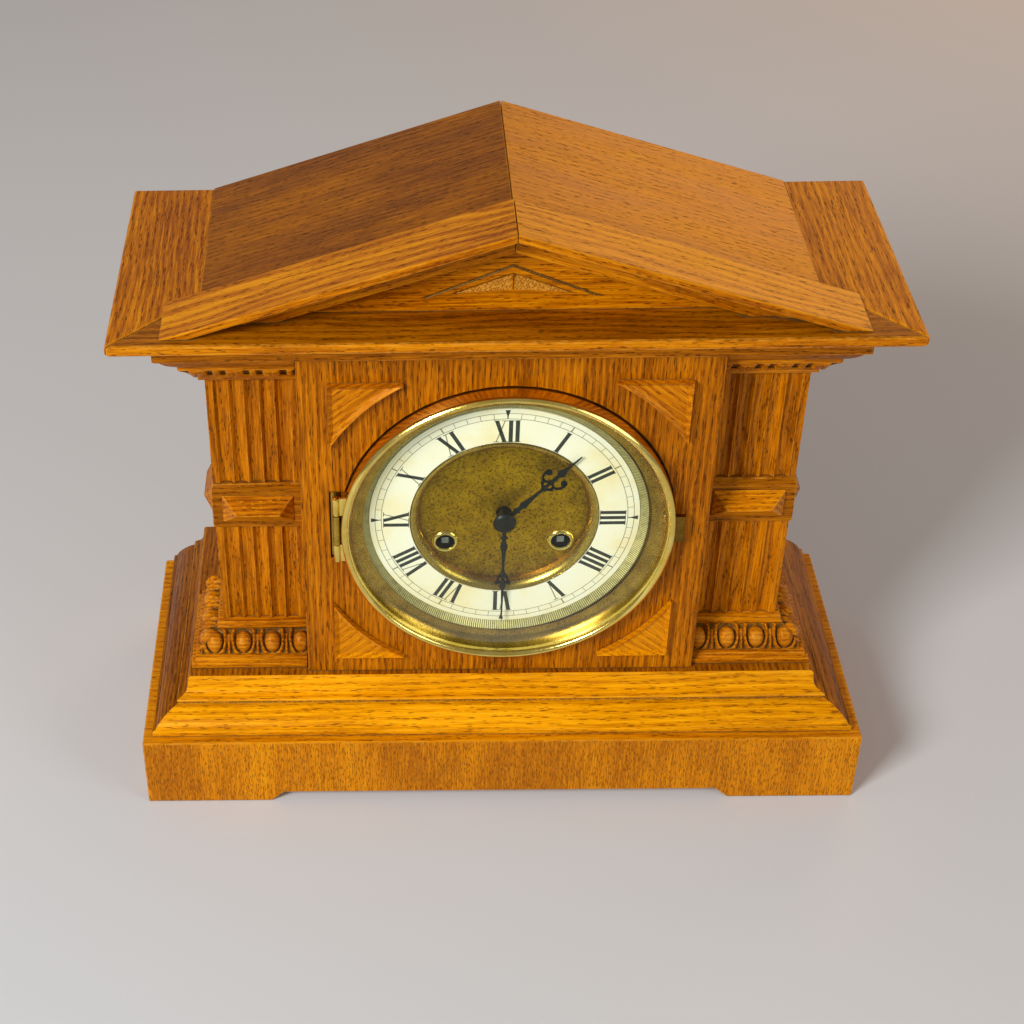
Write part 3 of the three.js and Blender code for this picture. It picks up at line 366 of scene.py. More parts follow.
def creamCelluloid():
    # a celluloid ring: cream, matt, a little yellowed in patches
    made, tree, shader = newMaterial("cream celluloid, printed")
    place = addNode(tree, "TexCoord", (), "Object")
    cloud = addNode(tree, "TexNoise", {"Vector": place, "Scale": 38, "Detail": 4}, "Fac")
    stops = [(0.3, linear("#fde9b4")), (0.5, linear("#fff6dc")), (0.75, linear("#fffaec"))]
    colour = addNode(tree, "ValToRGB", (cloud,), "Color", stops)
    specks = addNode(tree, "TexNoise", {"Vector": place, "Scale": 700, "Detail": 2}, "Fac")
    tarnish = addNode(tree, "MapRange", (specks, 0.7, 0.78, 0.0, 0.35), "Result")
    colour = addNode(tree, "MixRGB", (tarnish, colour, linear("#b99b5a")), "Color")
    tree.links.new(colour, shader.inputs["Base Color"])
    shader.inputs["Roughness"].default_value = 0.42
    return made


def ink(name, colour, worn):
    made, tree, shader = newMaterial(name)
    place = addNode(tree, "TexCoord", (), "Object")
    spots = addNode(tree, "TexNoise", {"Vector": place, "Scale": 1400, "Detail": 2}, "Fac")
    shade = addNode(tree, "ValToRGB", (spots,), "Color", [(0.45, linear(colour)), (0.75, linear(worn))])
    tree.links.new(shade, shader.inputs["Base Color"])
    shader.inputs["Roughness"].default_value = 0.6
    return made


def clearGlass():
    # thin clear glass: light goes straight through it, and its face mirrors at a slant
    made = bpy.data.materials.new("clear glass, polished")
    made.use_nodes = True
    tree = made.node_tree
    tree.nodes.clear()
    output = addNode(tree, "OutputMaterial")
    through = addNode(tree, "BsdfTransparent", {"Color": linear("#fbfffa")})
    mirror = addNode(tree, "BsdfPrincipled", {"Base Color": grey(1.0)})
    mirror.inputs["Metallic"].default_value = 1.0
    mirror.inputs["Roughness"].default_value = 0.03
    place = addNode(tree, "TexCoord", (), "Object")
    wave = addNode(tree, "TexNoise", {"Vector": place, "Scale": 14, "Detail": 1}, "Fac")
    bump = addNode(tree, "Bump", {"Height": wave, "Strength": 0.05, "Distance": 0.0004})
    tree.links.new(bump.outputs["Normal"], mirror.inputs["Normal"])
    slant = addNode(tree, "Fresnel", {"IOR": 1.45}, "Fac")
    slant = addNode(tree, "Math", (slant, 0.2), 0, operation="MULTIPLY")
    both = addNode(tree, "MixShader", {0: slant, 1: through.outputs[0], 2: mirror.outputs[0]})
    tree.links.new(both.outputs[0], output.inputs["Surface"])
    return made


handBlack = blackHands()
cream = creamCelluloid()
numeralInk = ink("printer's black ink, faded", "#23261f", "#4a4c40")
fineInk = ink("printer's fine line ink", "#77705a", "#9a9272")
glass = clearGlass()
toothed = toothedBrass()
punched = stippledOak()
darkSlot = metal("dark brass, tarnished", "#6a4d16", "#8c6a26", 0.35, "#2f2410", 0.5)
sightBrass = metal("brass sight ring, brown lacquer", "#9a7424", "#c0963a", 0.22, "#4a3410", 0.5)
print("materials made")


# Making and placing pieces


def finishPiece(name, mesh, body, materials, replaced=()):
    made = bpy.data.objects.new(name, mesh)
    bpy.context.scene.collection.objects.link(made)
    for material in materials:
        made.data.materials.append(material)
    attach(made, body)
    if replaced:
        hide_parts(*replaced)
    return made


def meshFrom(bm, name, recalc=True):
    bmesh.ops.remove_doubles(bm, verts=bm.verts, dist=1e-7)
    if recalc:
        bmesh.ops.recalc_face_normals(bm, faces=bm.faces)
    mesh = bpy.data.meshes.new(name)
    bm.to_mesh(mesh)
    bm.free()
    return mesh


def smoothBy(mesh, degrees):
    mesh.shade_smooth()
    mesh.set_sharp_from_angle(angle=math.radians(degrees))


def nodeBmesh(name):
    # a merged copy of a CAD node, with its flat faces made whole
    bm = bmesh.new()
    bm.from_mesh(nodes[name].data)
    bmesh.ops.remove_doubles(bm, verts=bm.verts, dist=2e-6)
    bmesh.ops.dissolve_limit(bm, angle_limit=math.radians(1), verts=bm.verts, edges=bm.edges)
    return bm


def easeArrises(bm, width, segments=2, angle=30):
    # rounds the outward corners and marks the new faces for the wear
    layer = bm.faces.layers.float.get("arris") or bm.faces.layers.float.new("arris")
    sharp = [
        e
        for e in bm.edges
        if len(e.link_faces) == 2 and e.is_convex and e.calc_face_angle(0) > math.radians(angle)
    ]
    made = bmesh.ops.bevel(
        bm,
        geom=sharp,
        offset=width,
        segments=segments,
        profile=0.5,
        affect="EDGES",
        clamp_overlap=True,
        material=-1,
    )
    for face in made["faces"]:
        face[layer] = 1.0


def softenedBoard(name, width, material, body="case"):
    bm = nodeBmesh(name)
    easeArrises(bm, width * mm)
    mesh = meshFrom(bm, name + "_worked", recalc=False)
    finishPiece(name + "_worked", mesh, body, [material], [name])


# Case boards: each is cut from its own plank, with its corners eased by hand. The width is the
# eased corner's, in mm.

roofTilt = math.degrees(math.atan2(53, 163.5))

boards = {
    "side_panel_left": (0.4, "russet", "z", 2, {"face": "x"}),
    "side_panel_right": (0.4, "russet", "z", 3, {"face": "x"}),
    "front_panel": (0.5, "russet", "z", 4, {"poreLength": 9.0, "band": 3.2, "streaks": 0.75, "swing": 5.0}),
    "lower_shaft_left": (0.25, "russet", "z", 5, {"band": 5.0, "swing": 16.0, "streaks": 0.6}),
    "lower_shaft_right": (0.25, "russet", "z", 6, {"band": 5.0, "swing": 16.0, "streaks": 0.6}),
    "upper_shaft_left": (0.25, "russet", "z", 7, {"band": 5.0, "swing": 16.0, "streaks": 0.6}),
    "upper_shaft_right": (0.25, "russet", "z", 8, {"band": 5.0, "swing": 16.0, "streaks": 0.6}),
    "block_boss_left": (0.5, "amber", "x", 11, {"flecks": 0.5}),
    "block_boss_right": (0.5, "amber", "x", 12, {"flecks": 0.5}),
    "frieze_front": (0.5, "russet", "x", 13, {"streaks": 0.7}),
    "frieze_left": (0.5, "russet", "y", 14, {"face": "x"}),
    "frieze_right": (0.5, "russet", "y", 15, {"face": "x"}),
    "cornice_left": (1.3, "amber", "y", 17, {"face": "z", "poreLength": 8.0, "streaks": 0.7}),
    "cornice_right": (1.3, "amber", "y", 18, {"face": "z", "poreLength": 8.0, "streaks": 0.7}),
    # the right roof board takes a lighter tone than the left: painted sheen from the light behind and to the
    # right
    "roof_left": (0.6, "brown", "x", 21, {"face": "z", "tilt": roofTilt, "bands": 0.04}),
    "roof_right": (0.6, "golden", "x", 22, {"face": "z", "tilt": -roofTilt, "bands": 0.04}),
    "back_panel": (0.4, "bare", "z", 23, {"rough": 0.7}),
    "back_door": (0.4, "bare", "z", 24, {"rough": 0.7}),
    "seat_board": (0.4, "bare", "x", 25, {"rough": 0.7, "face": "z"}),
}

for name, (width, look, grain, seed, more) in boards.items():
    body = "rear_door" if name == "back_door" else "case"
    softenedBoard(name, width, oak(look, grain, seed, **more), body)


def boardInParts(name, width, materials, choose, angle=30):
    # one board whose faces show different grain: choose gives the material for each face
    bm = nodeBmesh(name)
    easeArrises(bm, width * mm, 2, angle)
    for face in bm.faces:
        face.normal_update()
        face.material_index = choose(face)
    mesh = meshFrom(bm, name + "_worked", recalc=False)
    return finishPiece(name + "_worked", mesh, "case", materials, [name])


# The plinth is veneered: short upright leaves round its faces, and long grain on its top
veneer = {
    "poreLength": 4.0,
    "bands": 0.02,
    "strips": 62.0,
    "streaks": 0.1,
    "gather": 0.1,
    "poreSize": 0.42,
    "poreGap": 0.72,
    "pores": 0.85,
}
plinthWoods = [
    oak("golden", "z", 41, **veneer),
    oak("golden", "z", 42, **veneer, face="x"),
    oak("golden", "x", 43, face="z"),
]
boardInParts(
    "plinth_frame",
    0.9,
    plinthWoods,
    lambda f: 2 if abs(f.normal.z) > 0.7 else (1 if abs(f.normal.x) > 0.8 else 0),
)
for word, seed in (("left", 9), ("right", 10)):
    blockWoods = [oak("brown", "x", seed), oak("russet", "y", seed, face="x")]
    boardInParts("mid_block_" + word, 0.6, blockWoods, lambda f: 1 if abs(f.normal.x) > 0.5 else 0)
# the top face is given a darker tone than the front: painted shade under the raking cornice's overhang
corniceWoods = [oak("amber", "x", 16, band=5.0), oak("brown", "x", 17, face="z", band=5.0)]
boardInParts("cornice_front", 1.3, corniceWoods, lambda f: 1 if f.normal.z > 0.9 else 0)
# the sides take a darker tone than the front: their grain runs front to back, and painted shade on the side
# faces
mouldingWoods = [
    oak("honey", "x", 44, poreLength=7.0, band=6.0),
    oak("brown", "y", 45, face="x", poreLength=7.0),
]

# The base moulding's section: a fillet, a quirk, an ovolo, a bead and a hollow up to the fascia.
# Each pair is the set-back from the plinth's faces and the height over the plinth, in mm.
baseMoulding = {
    "half": 190.0,
    "front": -76.0,
    "back": 76.0,
    "foot": 44.0,
    "section": [
        (5.2, 0.3), (5.2, 3.5), (6.9, 3.8), (7.2, 4.7), (8.6, 6.4), (10.6, 8.2), (13.0, 9.8),
        (15.4, 11.0), (17.4, 11.6), (19.5, 11.8), (19.6, 12.7), (18.4, 12.9), (17.9, 13.5),
        (18.3, 14.3), (19.4, 14.7), (21.6, 15.4), (23.0, 16.8), (23.7, 19.0), (24.1, 22.6),
        (24.3, 24.4), (25.2, 25.0),
    ],
}


def makeBaseMoulding(c):
    bm = bmesh.new()
    rows = []
    for inset, rise in c["section"]:
        x, y, z = c["half"] - inset, c["front"] + inset, c["foot"] + rise
        corners = [(-x, c["back"], z), (-x, y, z), (x, y, z), (x, c["back"], z)]
        made = [bm.verts.new(Vector(p) * mm) for p in corners]
        rows.append([bm.edges.new((a, b)) for a, b in zip(made, made[1:])])
    for low, high in zip(rows, rows[1:]):
        bmesh.ops.bridge_loops(bm, edges=low + high)
    for row in (rows[0], rows[-1]):
        ends = list(dict.fromkeys(v for e in row for v in e.verts))
        bmesh.ops.contextual_create(bm, geom=ends)
    openEdges = [e for e in bm.edges if len(e.link_faces) == 1]
    bmesh.ops.holes_fill(bm, edges=openEdges, sides=0)
    bmesh.ops.recalc_face_normals(bm, faces=bm.faces)
    easeArrises(bm, 0.3 * mm, 2, 28)
    inset, rise = c["section"][-1]
    corner = Vector((c["half"] - inset, c["front"] + inset, c["foot"] + rise)) * mm
    for face in bm.faces:
        face.normal_update()
    for side in (-1, 1):
        # the top ledge is mitred too, so its sides are grained from front to back
        ledge = [f for f in bm.faces if f.normal.z > 0.9 and f.calc_center_median().z > corner.z - 0.2 * mm]
        geom = set(ledge) | {e for f in ledge for e in f.edges} | {v for f in ledge for v in f.verts}
        bmesh.ops.bisect_plane(
            bm, geom=list(geom), plane_co=(side * corner.x, corner.y, corner.z), plane_no=(side, 1, 0)
        )
    for face in bm.faces:
        face.normal_update()
        centre = face.calc_center_median()
        beside = face.normal.z > 0.9 and centre.z > corner.z - 0.2 * mm
        beside = beside and abs(centre.x) - corner.x + centre.y - corner.y > 0
        face.material_index = 1 if beside or abs(face.normal.x) > abs(face.normal.y) else 0
    mesh = meshFrom(bm, "base_moulding_run", recalc=False)
    smoothBy(mesh, 32)
    finishPiece("base_moulding_run", mesh, "case", mouldingWoods, ["base_moulding"])


makeBaseMoulding(baseMoulding)
print("boards made")


# Carved bands on the pillars: a height relief over the slope between two fillets

pillarInner = 102.2
pillarOuter = 147.0
pillarFace = -28.0
pillarBack = 12.0
mitreReach = 17  # mm of each strip past the pillar's corner, cut to the mitre


def alongLine(points, t):
    # the point at a share t of a bent line
    at = min(max(t, 0.0), 1.0) * (len(points) - 1)
    i = min(int(at), len(points) - 2)
    return [a + (b - a) * (at - i) for a, b in zip(points[i], points[i + 1])]


def carvedBand(bm, side, turn, slope, bottom, normal, relief, height, step=0.45):
    # turn is 0 for the front strip and 1 for the outer side's
    length = (pillarOuter - pillarInner if turn == 0 else pillarBack - pillarFace) + mitreReach + 1
    columns = int(length / step)
    rows = int(height / step)
    grid = bmesh.ops.create_grid(bm, x_segments=columns, y_segments=rows, size=0.5)["verts"]
    raised = {}
    for v in grid:
        s = (v.co.x + 0.5) * length
        t = v.co.y + 0.5
        p, rise = alongLine(slope, t)
        h = relief(s, t * height)
        raised[v] = h
        edge = min(t, 1 - t) * height
        h *= min(max((s - mitreReach + p) / 1.2, 0.0), 1.0)  # the two strips meet flat at the mitre
        h = h * min(1.0, edge / 0.8) - (0.5 if edge < 0.01 else 0.0)
        p += normal[0] * h
        z = bottom + rise + normal[1] * h
        # s runs from the mitre inwards, and the corner is where both strips meet
        inward = max(s, 0)
        if turn == 0:
            x = max(min(pillarOuter + mitreReach - inward, pillarOuter + p), pillarInner)
            v.co = Vector((side * x, pillarFace - p, z)) * mm
        else:
            y = min(max(pillarFace - mitreReach + inward, pillarFace - p), pillarBack)
            v.co = Vector((side * (pillarOuter + p), y, z)) * mm
    deepLayer = bm.faces.layers.float.get("hollow") or bm.faces.layers.float.new("hollow")
    layer = bm.faces.layers.float.get("arris")
    for face in {f for v in grid for f in v.link_faces}:
        top = sum(raised.get(v, 0.0) for v in face.verts) / len(face.verts)
        # the deepest points of the carving are darkened: old polish, and painted shade
        face[deepLayer] = min(max((-0.35 - top) / 0.5, 0.0), 1.0)
        face[layer] = min(max((top - 0.9) / 2.2, 0.0), 1.0)  # the high points are painted pale: wear, and a painted highlight


def eggAndDart(s, v):
    # eggs in husks, with a dart between each pair
    pitch = 15.4
    du = (s - 12.4 + pitch / 2) % pitch - pitch / 2
    dv = v - 7.2
    near = math.hypot(du / 4.1, (dv + 0.4) / 5.6)
    if near < 1:
        return 3.2 * math.sqrt(1 - near * near) - 0.2
    if near < 1.2:
        return -1.2
    husk = math.hypot(du / 4.1, (dv - 1.6) / 7.2)
    if husk < 1.7:
        return 2.2 * max(0.0, 1 - ((husk - 1.4) / 0.26) ** 2) - 0.9
    away = pitch / 2 - abs(du)
    if away < 0.9 and v < 10.5:
        return 1.8 * (1 - away / 0.9) - 0.6
    return -1.2


def leafBand(s, v):
    # broad leaves with a narrow tongue between each pair
    pitch = 17.7
    du = abs((s - 6) % pitch - pitch / 2)
    if du < 4.2:
        vein = 0.5 if du < 0.5 else 0.0
        return 1.5 * math.sqrt(1 - (du / 4.2) ** 2) - vein
    if du > 7.2:
        return 1.0 * math.sqrt(max(0.0, 1 - ((pitch / 2 - du) / 1.7) ** 2))
    return -0.9


eggSlope = [(12.6, 6.3), (10.6, 10.8), (7.2, 14.8), (3.9, 17.2)]
leafSlope = [(5.0, 4.8), (7.6, 8.0), (11.2, 11.6)]

for side, word in ((-1, "left"), (1, "right")):
    baseWoods = [oak("amber", "x", 50 + side, pores=0.8), oak("russet", "y", 53 + side, face="x")]
    for name, slope, bottom, normal, relief, height in (
        ("column_base_", eggSlope, 69.0, (0.74, 0.67), eggAndDart, 14.4),
        ("capital_", leafSlope, 246.0, (0.72, -0.69), leafBand, 9.4),
    ):
        bm = nodeBmesh(name + word)
        easeArrises(bm, 0.35 * mm)
        low, high = bottom + slope[0][1] + 0.3, bottom + slope[-1][1] - 0.3
        covered = []
        for face in bm.faces:
            face.normal_update()
            if low < face.calc_center_median().z / mm < high and abs(face.normal.z) > 0.2:
                covered.append(face)
        bmesh.ops.delete(bm, geom=covered, context="FACES_ONLY")  # the carving takes their place
        carvedBand(bm, side, 0, slope, bottom, normal, relief, height)
        carvedBand(bm, side, 1, slope, bottom, normal, relief, height)
        bmesh.ops.remove_doubles(bm, verts=bm.verts, dist=1e-6)
        bmesh.ops.recalc_face_normals(bm, faces=bm.faces)
        for face in bm.faces:
            face.smooth = True
            face.material_index = 1 if abs(face.normal.x) > 0.85 else 0
        mesh = meshFrom(bm, name + word + "_carved", recalc=False)
        mesh.set_sharp_from_angle(angle=math.radians(50))
        finishPiece(name + word + "_carved", mesh, "case", baseWoods, [name + word])
print("carving made")


# Spandrels: raised corner pieces with wide chamfers

for row in ("top", "bottom"):
    for word in ("left", "right"):
        name = f"spandrel_{row}_{word}"
        bm = nodeBmesh(name)
        front = min(bm.faces, key=lambda f: f.calc_center_median().y)
        outline = list(front.verts)
        bmesh.ops.inset_region(bm, faces=[front], thickness=2.4 * mm, use_even_offset=True)
        for v in outline:
            v.co.y += 1.9 * mm
        layer = bm.faces.layers.float.new("arris")
        for face in bm.faces:
            face.normal_update()
            centre = face.calc_center_median() / mm
            reach = math.hypot(centre.x, centre.z - dialHeight)
            if face.normal.y < -0.3 and reach < 103.5:
                face[layer] = 1.6 if row == "bottom" else 0.6  # painted highlight and wear: the chamfers by the arc are painted pale, most on the bottom pair, whose chamfers face up to the light
        for e in bm.edges:
            if len(e.link_faces) == 2 and e.calc_face_angle(0) > 0.3:
                e.smooth = False
        mesh = meshFrom(bm, name + "_chamfered", recalc=False)
        look = "amber" if row == "top" else "golden"
        tilt = 40 if word == "left" else -40
        grainWood = oak(look, "x", 60 + len(name), pores=0.7, flecks=0.3, tilt=tilt)
        finishPiece(name + "_chamfered", mesh, "case", [grainWood], [name])


# Tympanum: two cut lines round a sunk, punched triangle with a rib down its middle

tympanumCuts = {
    "line": [(-42.5, 299.4), (0.0, 317.2), (42.5, 299.4), (38.6, 299.4), (0.0, 315.4), (-38.6, 299.4)],
    "field": [(-30.0, 301.0), (0.0, 312.6), (30.0, 301.0), (0.0, 303.4)],
    "depth": 1.9,
    "groove": 0.9,
    "rib": 0.6,
}


# The raking cornice: a thin board over a hollow and a second moulding, down to the cornice's top

rake = {
    "top": 345.2,
    "base": 292.5,
    "slope": 53 / 163.5,
    "front": -66.1,
    "back": -33.1,
    "steps": [(0.0, 4.2, 0.0), (3.7, 9.5, 9.4), (9.0, 12.6, 12.0), (12.2, 17.2, 13.6)],  # from, to, set back
}


def prism(bm, outline, y0, y1):
    made = bm.faces.new([bm.verts.new((x * mm, y0 * mm, z * mm)) for x, z in outline])
    solid = bmesh.ops.extrude_face_region(bm, geom=[made])["geom"]
    moved = [g for g in solid if isinstance(g, bmesh.types.BMVert)]
    bmesh.ops.translate(bm, verts=moved, vec=(0, (y1 - y0) * mm, 0))


def makeRake(side, word, c):
    bm = bmesh.new()
    for upper, lower, setBack in c["steps"]:
        feet = [side * (c["top"] - d - c["base"]) / c["slope"] for d in (upper, lower)]
        outline = [(side * 0.15, c["top"] - upper), (feet[0], c["base"])]
        outline += [(feet[1], c["base"]), (side * 0.15, c["top"] - lower)]
        prism(bm, outline, c["front"] + setBack, c["back"])
    bmesh.ops.recalc_face_normals(bm, faces=bm.faces)
    easeArrises(bm, 0.6 * mm)
    for face in bm.faces:
        face.normal_update()
        face.material_index = 1 if face.normal.z > 0.7 else 0
    mesh = meshFrom(bm, "raking_cornice_" + word + "_run", recalc=False)
    tilt = -side * roofTilt
    # the right rake's top takes a lighter tone than the left's: painted sheen, as on the right roof
    topLook = "amber" if side < 0 else "golden"
    grained = [
        oak("amber", "x", 19 + side, tilt=tilt),
        oak(topLook, "x", 24 + side, face="z", band=6.0, bands=0.2, swing=14.0, tilt=tilt),
    ]
    finishPiece("raking_cornice_" + word + "_run", mesh, "case", grained, ["raking_cornice_" + word])


makeRake(-1, "left", rake)
makeRake(1, "right", rake)


def makeTympanum(c):
    bm = nodeBmesh("tympanum")
    cut = bm.faces.layers.float.new("hollow")  # the cuts are darkened: old dark polish and dust, and painted shade on the pocket's upper walls
    apex = max(v.co.z for v in bm.verts)
    half = max(v.co.x for v in bm.verts)
    raisedBy = (327.4 * mm) - apex
    for v in bm.verts:
        if v.co.z > apex - 1e-4:
            v.co.z += raisedBy
        else:
            v.co.x *= (half + raisedBy / rake["slope"]) / half
    front = min(bm.faces, key=lambda f: f.calc_center_median().y)
    face = front.calc_center_median().y
    rim = list(front.edges)
    bmesh.ops.delete(bm, geom=[front], context="FACES_ONLY")

    def ring(points):
        made = [bm.verts.new((x * mm, face, z * mm)) for x, z in points]
        return made, [bm.edges.new((a, b)) for a, b in zip(made, made[1:] + made[:1])]

    def deep(x, z, depth):
        return bm.verts.new((x * mm, face + depth * mm, z * mm))

    line, lineEdges = ring(c["line"])
    field, fieldEdges = ring(c["field"])
    bmesh.ops.triangle_fill(bm, edges=rim + lineEdges + fieldEdges, normal=(0, -1, 0))
    # the fill also covers the sunk parts when it can, so those faces go
    covered = []
    for f in bm.faces:
        centre = f.calc_center_median()
        if abs(centre.y - face) < 1e-6 and len(f.verts) == 3:
            if set(f.verts) <= set(line) or set(f.verts) <= set(field):
                covered.append(f)
    middle = [deep(-40.6, 299.4, 0.2), deep(0, 316.3, c["groove"]), deep(40.6, 299.4, 0.2)]
    opened = []
    for f in covered:
        x = f.calc_center_median().x
        z = f.calc_center_median().z / mm
        inField = set(f.verts) <= set(field) and field[1] in f.verts
        top = 317.2 - abs(x / mm) * 17.8 / 42.5
        if inField or (set(f.verts) <= set(line) and z > top - 2.0):
            opened.append(f)
    bmesh.ops.delete(bm, geom=opened, context="FACES_ONLY")
    for a, b, m0, m1 in (
        (line[0], line[1], middle[0], middle[1]),
        (line[1], line[2], middle[1], middle[2]),
        (line[5], line[4], middle[0], middle[1]),
        (line[4], line[3], middle[1], middle[2]),
    ):
        bm.faces.new((a, b, m1, m0))[cut] = 1.0
    bm.faces.new((line[0], middle[0], line[5]))
    bm.faces.new((line[2], middle[2], line[3]))
    left, top, right, low = field
    depth = c["depth"]
    half = c["rib"]
    wallLeft = deep(-26.5, 301.3, 0.7)
    wallRight = deep(26.5, 301.3, 0.7)
    floorLeft = deep(-half, 310.9, depth)
    floorRight = deep(half, 310.9, depth)
    lowLeft = deep(-half, 303.5, 0.1)
    lowRight = deep(half, 303.5, 0.1)
    ribTop = deep(0, 311.9, 0.1)
    walls = [
        (left, top, floorLeft, wallLeft), (top, right, wallRight, floorRight),
        (left, wallLeft, lowLeft, low), (right, low, lowRight, wallRight),
        (top, ribTop, floorLeft), (top, floorRight, ribTop), (floorLeft, ribTop, low, lowLeft),
        (floorRight, lowRight, low, ribTop),
    ]
    # the pocket's two upper walls are darkened as painted shade
    for corners in walls[:2]:
        bm.faces.new(corners)[cut] = 1.0
    for corners in walls[2:]:
        bm.faces.new(corners)
    for corners in ((wallLeft, floorLeft, lowLeft), (wallRight, lowRight, floorRight)):
        bm.faces.new(corners).material_index = 1
    bmesh.ops.recalc_face_normals(bm, faces=bm.faces)
    mesh = meshFrom(bm, "tympanum_carved", recalc=False)
    woodsHere = [oak("amber", "x", 71, streaks=0.7), punched]
    finishPiece("tympanum_carved", mesh, "case", woodsHere, ["tympanum"])


makeTympanum(tympanumCuts)
print("pediment made")


# Turned brass: the bezel with its sight ring, the glass and the dial's parts. Each profile holds
# pairs of radius and Y, in mm.

bezelShift = 1.2
turning = 128  # steps round each turned piece


def spun(bm, profile, x=0.0, z=dialHeight):
    # turns a closed profile about an axis along Y
    verts = [bm.verts.new(((x + r) * mm, y * mm, z * mm)) for r, y in profile]
    verts.append(verts[0])
    edges = [bm.edges.new((a, b)) for a, b in zip(verts, verts[1:])]
    bmesh.ops.spin(
        bm,
        geom=list(dict.fromkeys(verts)) + edges,
        cent=(x * mm, 0, z * mm),
        axis=(0, 1, 0),
        dvec=(0, 0, 0),
        angle=2 * math.pi,
        steps=turning,
        use_merge=True,
        use_duplicate=False,
    )


def turnedPiece(name, profile, body, material, replaced=(), x=0.0, z=dialHeight):
    bm = bmesh.new()
    spun(bm, profile, x, z)
    mesh = meshFrom(bm, name)
    smoothBy(mesh, 32)
    return finishPiece(name, mesh, body, [material], replaced)


bezelProfile = [
    (83.0, -46.0), (83.2, -54.6), (83.0, -55.7), (82.4, -56.5), (81.6, -57.0), (80.8, -56.9),
    (80.0, -56.3), (79.5, -55.4), (79.2, -54.2), (79.1, -53.0), (80.8, -52.8), (81.7, -51.8),
    (81.7, -46.0),
]
sightRing = [
    (80.2, -51.6), (79.4, -50.6), (78.4, -49.2), (77.0, -48.1), (75.4, -47.3), (73.8, -46.9),
    (72.2, -46.8), (72.2, -46.3), (75.6, -46.5), (78.6, -47.6), (80.2, -49.2), (81.2, -51.4),
]


knuckle = {"x": -84.2, "y": -50.7, "radius": 1.9, "length": 10.7, "feet": (148.3, 177.6), "web": 5.2}


def makeBezel():
    # the ring carries the hinge's two outer knuckles, each on a web
    bm = bmesh.new()
    spun(bm, bezelProfile, bezelShift)
    k = knuckle
    for low in k["feet"]:
        middle = low + k["length"] / 2
        made = bmesh.ops.create_cone(
            bm,
            cap_ends=True,
            segments=24,
            radius1=k["radius"] * mm,
            radius2=k["radius"] * mm,
            depth=k["length"] * mm,
            matrix=Matrix.Translation(Vector((k["x"], k["y"], middle)) * mm),
        )
        edges = {e for v in made["verts"] for e in v.link_edges if len(e.link_faces) == 2}
        rims = [e for e in edges if e.calc_face_angle(0) > 1.0]
        bmesh.ops.bevel(bm, geom=rims, offset=0.4 * mm, segments=2, profile=0.5, affect="EDGES", material=-1)
        web = Matrix.Translation(Vector((k["x"] + k["web"] / 2, k["y"], middle)) * mm)
        shape = Matrix.Diagonal((k["web"] * mm, 1.4 * mm, k["length"] * mm, 1))
        bmesh.ops.create_cube(bm, size=1, matrix=web @ shape)
    mesh = meshFrom(bm, "bezel_turned")
    smoothBy(mesh, 32)
    finishPiece("bezel_turned", mesh, "bezel_door", [polishedBrass], ["bezel"])


makeBezel()
turnedPiece("sight_ring_spun", sightRing, "bezel_door", sightBrass, (), bezelShift)
glassProfile = [
    (0.001, -54.8), (20.0, -54.6), (46.0, -53.8), (70.0, -52.9), (72.0, -52.7), (80.4, -52.4),
    (80.4, -51.9), (46.0, -52.4), (20.0, -53.2), (0.001, -53.4),
]
pane = turnedPiece("glass_turned", glassProfile, "bezel_door", glass, ["bezel_glass"], bezelShift)
pane.visible_shadow = False

panProfile = [
    (48.1, -42.4), (68.2, -42.4), (72.4, -45.3), (78.0, -45.7), (78.0, -44.8), (72.4, -44.4),
    (68.8, -41.5), (48.1, -41.5),
]
toothRing = [(68.2, -43.3), (71.8, -45.9), (72.2, -45.9), (72.2, -44.4), (68.2, -42.0)]
turnedPiece("dial_pan_spun", panProfile, "case", darkSlot, ["dial_pan"])
turnedPiece("dial_milled_ring", toothRing, "case", toothed)

chapterProfile = [(47.7, -43.5), (67.9, -43.5), (67.9, -42.7), (47.7, -42.7)]
turnedPiece("chapter_ring_flat", chapterProfile, "case", cream, ["chapter_ring"])


def holedPlate(bm, radius, face, thickness, holes, z=dialHeight):
    # a round plate pierced by round holes of (x, z, radius)
    edges = []
    for x, up, r, steps in [(0.0, z, radius, 128)] + [(a, b, c, 40) for a, b, c in holes]:
        turn = Matrix.Translation(Vector((x, face, up)) * mm) @ Matrix.Rotation(math.pi / 2, 4, "X")
        made = bmesh.ops.create_circle(bm, segments=steps, radius=r * mm, matrix=turn)["verts"]
        edges += list({e for v in made for e in v.link_edges})
    filled = bmesh.ops.triangle_fill(bm, edges=edges, use_beauty=True, normal=(0, -1, 0))["geom"]
    faces = [g for g in filled if isinstance(g, bmesh.types.BMFace)]
    solid = bmesh.ops.extrude_face_region(bm, geom=faces)["geom"]
    moved = [g for g in solid if isinstance(g, bmesh.types.BMVert)]
    bmesh.ops.translate(bm, verts=moved, vec=(0, thickness * mm, 0))


winding = [(-29.4, 149.9), (29.4, 149.9)]


